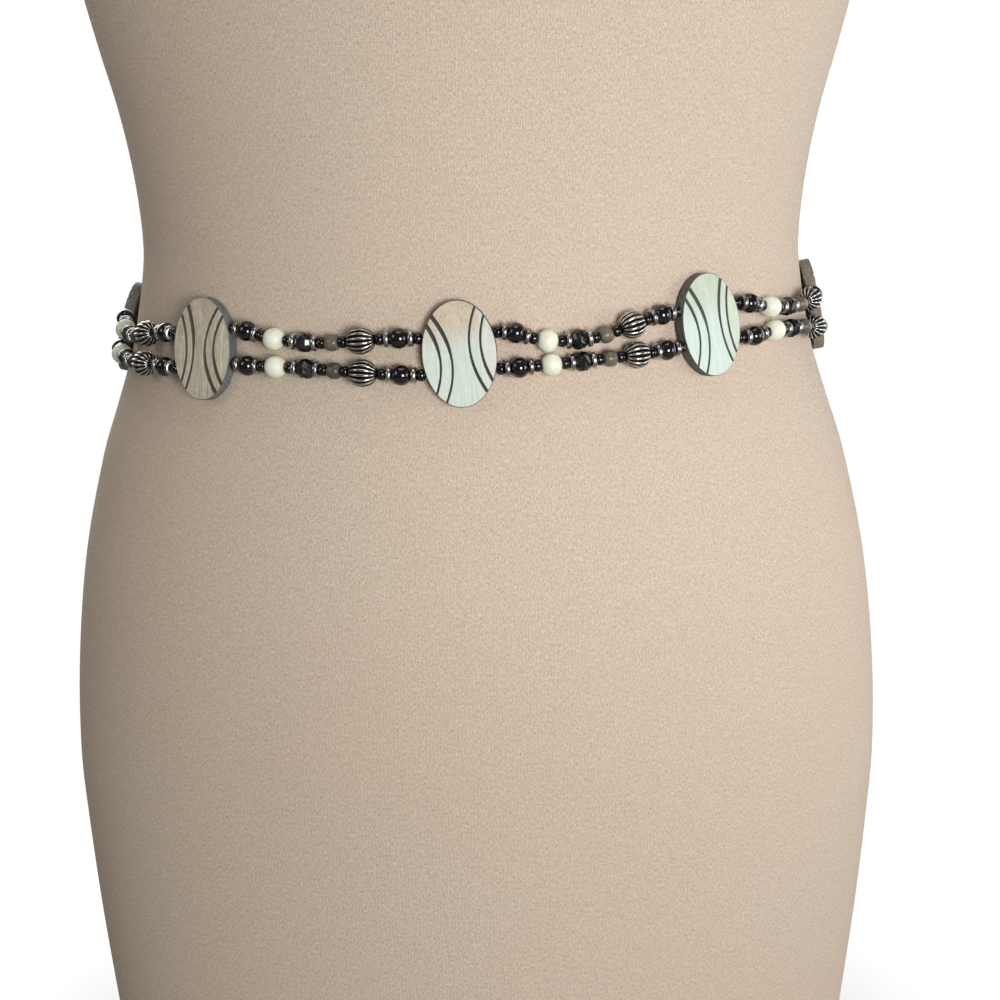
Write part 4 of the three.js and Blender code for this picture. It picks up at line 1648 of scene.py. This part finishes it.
    def build(self) -> None:
        """Build the three metal pieces in place of their solids."""
        finish = AgedWire("aged_wire")
        eye = self.torus(self.eye_radius, self.eye_reach, standing=True)
        pieces = {
            "end_bar_right": joined([self.bar(-1), eye]),
            "fastening_ring": self.torus(self.ring_radius, self.ring_reach, standing=False),
            "end_bar_left": joined([self.bar(1), self.hook()]),
        }
        for node, shape in pieces.items():
            piece = shape.build(f"metal_{node}", finish, Slot.DARK_METAL)
            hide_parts(node)


@dataclass
class Belt:
    """The whole belt: medallions, strands and fastening, set out round the form."""

    form: DressForm
    medallions: Sequence[Medallion]
    end_gap: float = 0.8
    seed: int = 7
    fastening: Fastening = field(init=False)

    def __post_init__(self) -> None:
        """Seat the medallions and put the fastening halfway between the outer two, round the back."""
        for medallion in self.medallions:
            medallion.set_on(self.form)
        first, last = self.medallions[0], self.medallions[-1]
        self.fastening = Fastening((last.place + first.place + self.form.belt_length) / 2)
        self.fastening.set_on(self.form)

    def strands(self) -> list[Strand]:
        """Two strands for each section, from the back left round the front to the back right.

        Returns:
            The upper and the lower strand of each section in turn.
        """
        found = []
        last = len(SECTION_SAGS) - 1
        for number, sag in enumerate(SECTION_SAGS):
            for level, bow in ((1, sag.upper), (-1, sag.lower)):
                if number == 0:
                    start = self.fastening.hole(level, 1, self.end_gap)
                    start.place -= self.form.belt_length
                else:
                    start = self.medallions[number - 1].hole(level, 1, self.end_gap)
                if number == last:
                    end = self.fastening.hole(level, -1, self.end_gap)
                else:
                    end = self.medallions[number].hole(level, -1, self.end_gap)
                run = FULL_RUN if 0 < number < last else END_RUN
                run = run[::-1] if number == 0 else run
                found.append(Strand(self.form, run, start, end, bow))
        return found

    def build(self) -> None:
        """Build the medallions, the beads of each kind, the threads and the fastening."""
        for medallion in self.medallions:
            medallion.build()
        strands = self.strands()
        random = np.random.default_rng(self.seed)
        nodes = [f"strand_{i // 2}_{'upper' if i % 2 == 0 else 'lower'}" for i in range(len(strands))]
        for kind, dress in DRESSES.items():
            shapes = [strand.beads(kind, random) for strand in strands if kind in strand.run]
            joined(shapes).build(*dress, smooth=kind is not Kind.CUT)
        threads = joined([strand.tube() for strand in strands])
        piece = threads.build("threads", WaxedThread("waxed_thread"), Slot.THREAD)
        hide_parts(*nodes)
        self.fastening.build()


MEDALLIONS = (
    Medallion(
        1, place=-322, height=-3, lean=0, line_shift=0.4,
        finish=PaintedWood("painted_wood_1", lower="#c4c8b6", upper="#b9ab95"),
    ),
    Medallion(
        2, place=-217.5, height=-8.5, lean=3, line_shift=-0.8,
        finish=PaintedWood("painted_wood_2", lower="#c6c6b4", upper="#bcb19c",
                           side_light="#a2a49f", side_dark="#616360"),
    ),
    Medallion(
        3, place=-110.2, height=-2.6, lean=3.5, turn=-6, drill=6, lines=UPRIGHT_LINES, line_width=1.1,
        finish=PaintedWood("painted_wood_3", lower="#ccc0aa", upper="#c4b69f", flank="#dad6b6",
                           flank_from=6.0, grain_share=0.75, fleck_share=0.4, stain="#4a443a",
                           side_light="#858b8a", side_dark="#494d4d"),
    ),
    Medallion(
        4, place=-3, height=0.3, lean=4.6, line_width=0.85,
        finish=PaintedWood("painted_wood_4", lower="#d3dfd2", upper="#ceba9f", flank="#dfe1d3",
                           upper_from=0.0, upper_to=14.0, grain_share=0.2, fleck_share=1.0,
                           stain="#3a3d39"),
    ),
    Medallion(
        5, place=98.6, height=6.2, lean=5.2, drill=-3, lines=OPEN_LINES, line_width=1.0,
        finish=PaintedWood("painted_wood_5", lower="#d5e6da", upper="#c5d1bc", flank="#d1dac1",
                           upper_from=0.0, upper_to=14.0, grain_share=0.2, fleck_share=0.1,
                           stain="#454a44"),
    ),
    Medallion(
        6, place=208.5, height=0.8, lean=2, line_shift=-0.3,
        finish=PaintedWood("painted_wood_6", lower="#b5ad9d", upper="#aca391",
                           side_light="#9a9180", side_dark="#6a6254"),
    ),
    Medallion(
        7, place=315, height=0.3, lean=0, line_shift=0.6,
        finish=PaintedWood("painted_wood_7", lower="#c5cfc3", upper="#bcae98"),
    ),
)


@dataclass
class Lamp:
    """A square soft light aimed at the belt: azimuth from the front towards +X, and its size in metres."""

    name: str
    azimuth: float
    distance: float
    height: float
    size: float
    power: float
    colour: str = "#ffffff"

    def build(self, target: Vector) -> None:
        """Place the light and turn it to its target.

        Args:
            target: The point that it lights, in metres.
        """
        light = bpy.data.lights.new(self.name, "AREA")
        light.shape = "SQUARE"
        light.size = self.size
        light.energy = self.power
        light.color = linear(self.colour)[:3]
        lamp = bpy.data.objects.new(self.name, light)
        turn = math.radians(self.azimuth)
        lamp.location = (self.distance * math.sin(turn), -self.distance * math.cos(turn), self.height)
        lamp.rotation_euler = (target - lamp.location).to_track_quat("-Z", "Y").to_euler()
        lamp.visible_camera = False
        bpy.context.scene.collection.objects.link(lamp)


@dataclass
class Studio:
    """A white room: pale floor, white surroundings, soft lights and the camera."""

    eye: tuple[float, float, float] = (0.0116, -0.712, 0.475)
    pitch: float = 15.1
    roll: float = 0.46
    lens: float = 58.32
    sensor: float = 36.0
    floor_half: float = 6.0
    floor_level: float = -0.0005
    painted_shadow_reach: float = 0.08
    painted_shadow_dark: float = 0.55
    floor_tone: str = "#85837f"
    floor_glow: float = 1.02
    ambient: float = 0.1
    white: float = 1.05
    target: tuple[float, float, float] = (0.0, 0.0, 0.42)
    lamps: Sequence[Lamp] = (
        Lamp("key", 17, 1.05, 0.43, 0.36, 7.15),
        Lamp("second", 66, 1.05, 0.42, 0.42, 2.6, "#f6f7ff"),
        Lamp("left", -58, 1.2, 0.9, 0.5, 1.9),
        Lamp("right", 112, 1.2, 0.45, 0.9, 4.8),
        Lamp("behind", 188, 1.7, 0.9, 1.2, 19.0),
        Lamp("behind_left", -142, 1.6, 0.9, 1.0, 10.0),
        Lamp("above", 0, 0.3, 2.3, 1.2, 9.0),
    )

    def build_camera(self) -> None:
        """Set the camera where the photograph was taken from."""
        camera = bpy.data.cameras.new("camera")
        camera.lens = self.lens
        camera.sensor_width = self.sensor
        camera.sensor_fit = "HORIZONTAL"
        eye = bpy.data.objects.new("camera", camera)
        tilt = Euler((math.radians(90 - self.pitch), 0, 0)).to_matrix()
        turn = tilt @ Matrix.Rotation(math.radians(-self.roll), 3, "Z")
        eye.matrix_world = Matrix.LocRotScale(Vector(self.eye), turn, None)
        bpy.context.scene.collection.objects.link(eye)
        bpy.context.scene.camera = eye

    def build_floor(self) -> None:
        """A pale floor that meets the white surroundings without an edge, with a painted contact shadow near
        what it carries.
        """
        half, level = self.floor_half, self.floor_level
        mesh = bpy.data.meshes.new("floor")
        corners = [(-half, -half, level), (half, -half, level), (half, half, level), (-half, half, level)]
        mesh.from_pydata(corners, [], [(0, 1, 2, 3)])
        paper = bpy.data.materials.new("floor_paper")
        paper.use_nodes = True
        paper.node_tree.nodes.clear()
        graph = Graph(paper.node_tree)
        matt = graph.add("ShaderNodeBsdfDiffuse", {"Color": linear(self.floor_tone)})
        # Painted contact shadow: ambient occlusion dims the glow that the camera sees close to what stands on
        # the floor.
        painted_shadow_ao = graph.add("ShaderNodeAmbientOcclusion", {"Distance": self.painted_shadow_reach}, out="AO")
        strength = graph.add("ShaderNodeMapRange", {"Value": painted_shadow_ao, "To Min": self.painted_shadow_dark,
                             "To Max": self.floor_glow})
        glow = graph.add("ShaderNodeEmission", {"Strength": strength})
        seen = graph.add("ShaderNodeLightPath", out="Is Camera Ray")
        both = graph.add("ShaderNodeMixShader", {0: seen, 1: matt, 2: glow})
        graph.add("ShaderNodeOutputMaterial", {"Surface": both})
        mesh.materials.append(paper)
        floor = bpy.data.objects.new("floor", mesh)
        bpy.context.scene.collection.objects.link(floor)

    def build_surroundings(self) -> None:
        """White where the camera sees it, and dim for what it lights."""
        world = bpy.data.worlds.new("surroundings")
        world.use_nodes = True
        world.node_tree.nodes.clear()
        graph = Graph(world.node_tree)
        seen = graph.add("ShaderNodeLightPath", out="Is Camera Ray")
        strength = graph.add("ShaderNodeMapRange", {"Value": seen, "To Min": self.ambient,
                             "To Max": self.white})
        white = graph.add("ShaderNodeBackground", {"Color": (1, 1, 1, 1), "Strength": strength})
        graph.add("ShaderNodeOutputWorld", {"Surface": white})
        bpy.context.scene.world = world

    def build(self) -> None:
        """Build everything that isn't the object."""
        bpy.context.scene.view_settings.view_transform = "Standard"
        self.build_camera()
        self.build_floor()
        self.build_surroundings()
        for lamp in self.lamps:
            lamp.build(Vector(self.target))


def main() -> None:
    """Build the studio, the form and the belt."""
    logging.basicConfig(level=logging.INFO, format="%(message)s")
    Studio().build()
    form = DressForm()
    form.build_cover()
    Belt(form, MEDALLIONS).build()


if __name__ == "__main__":
    main()
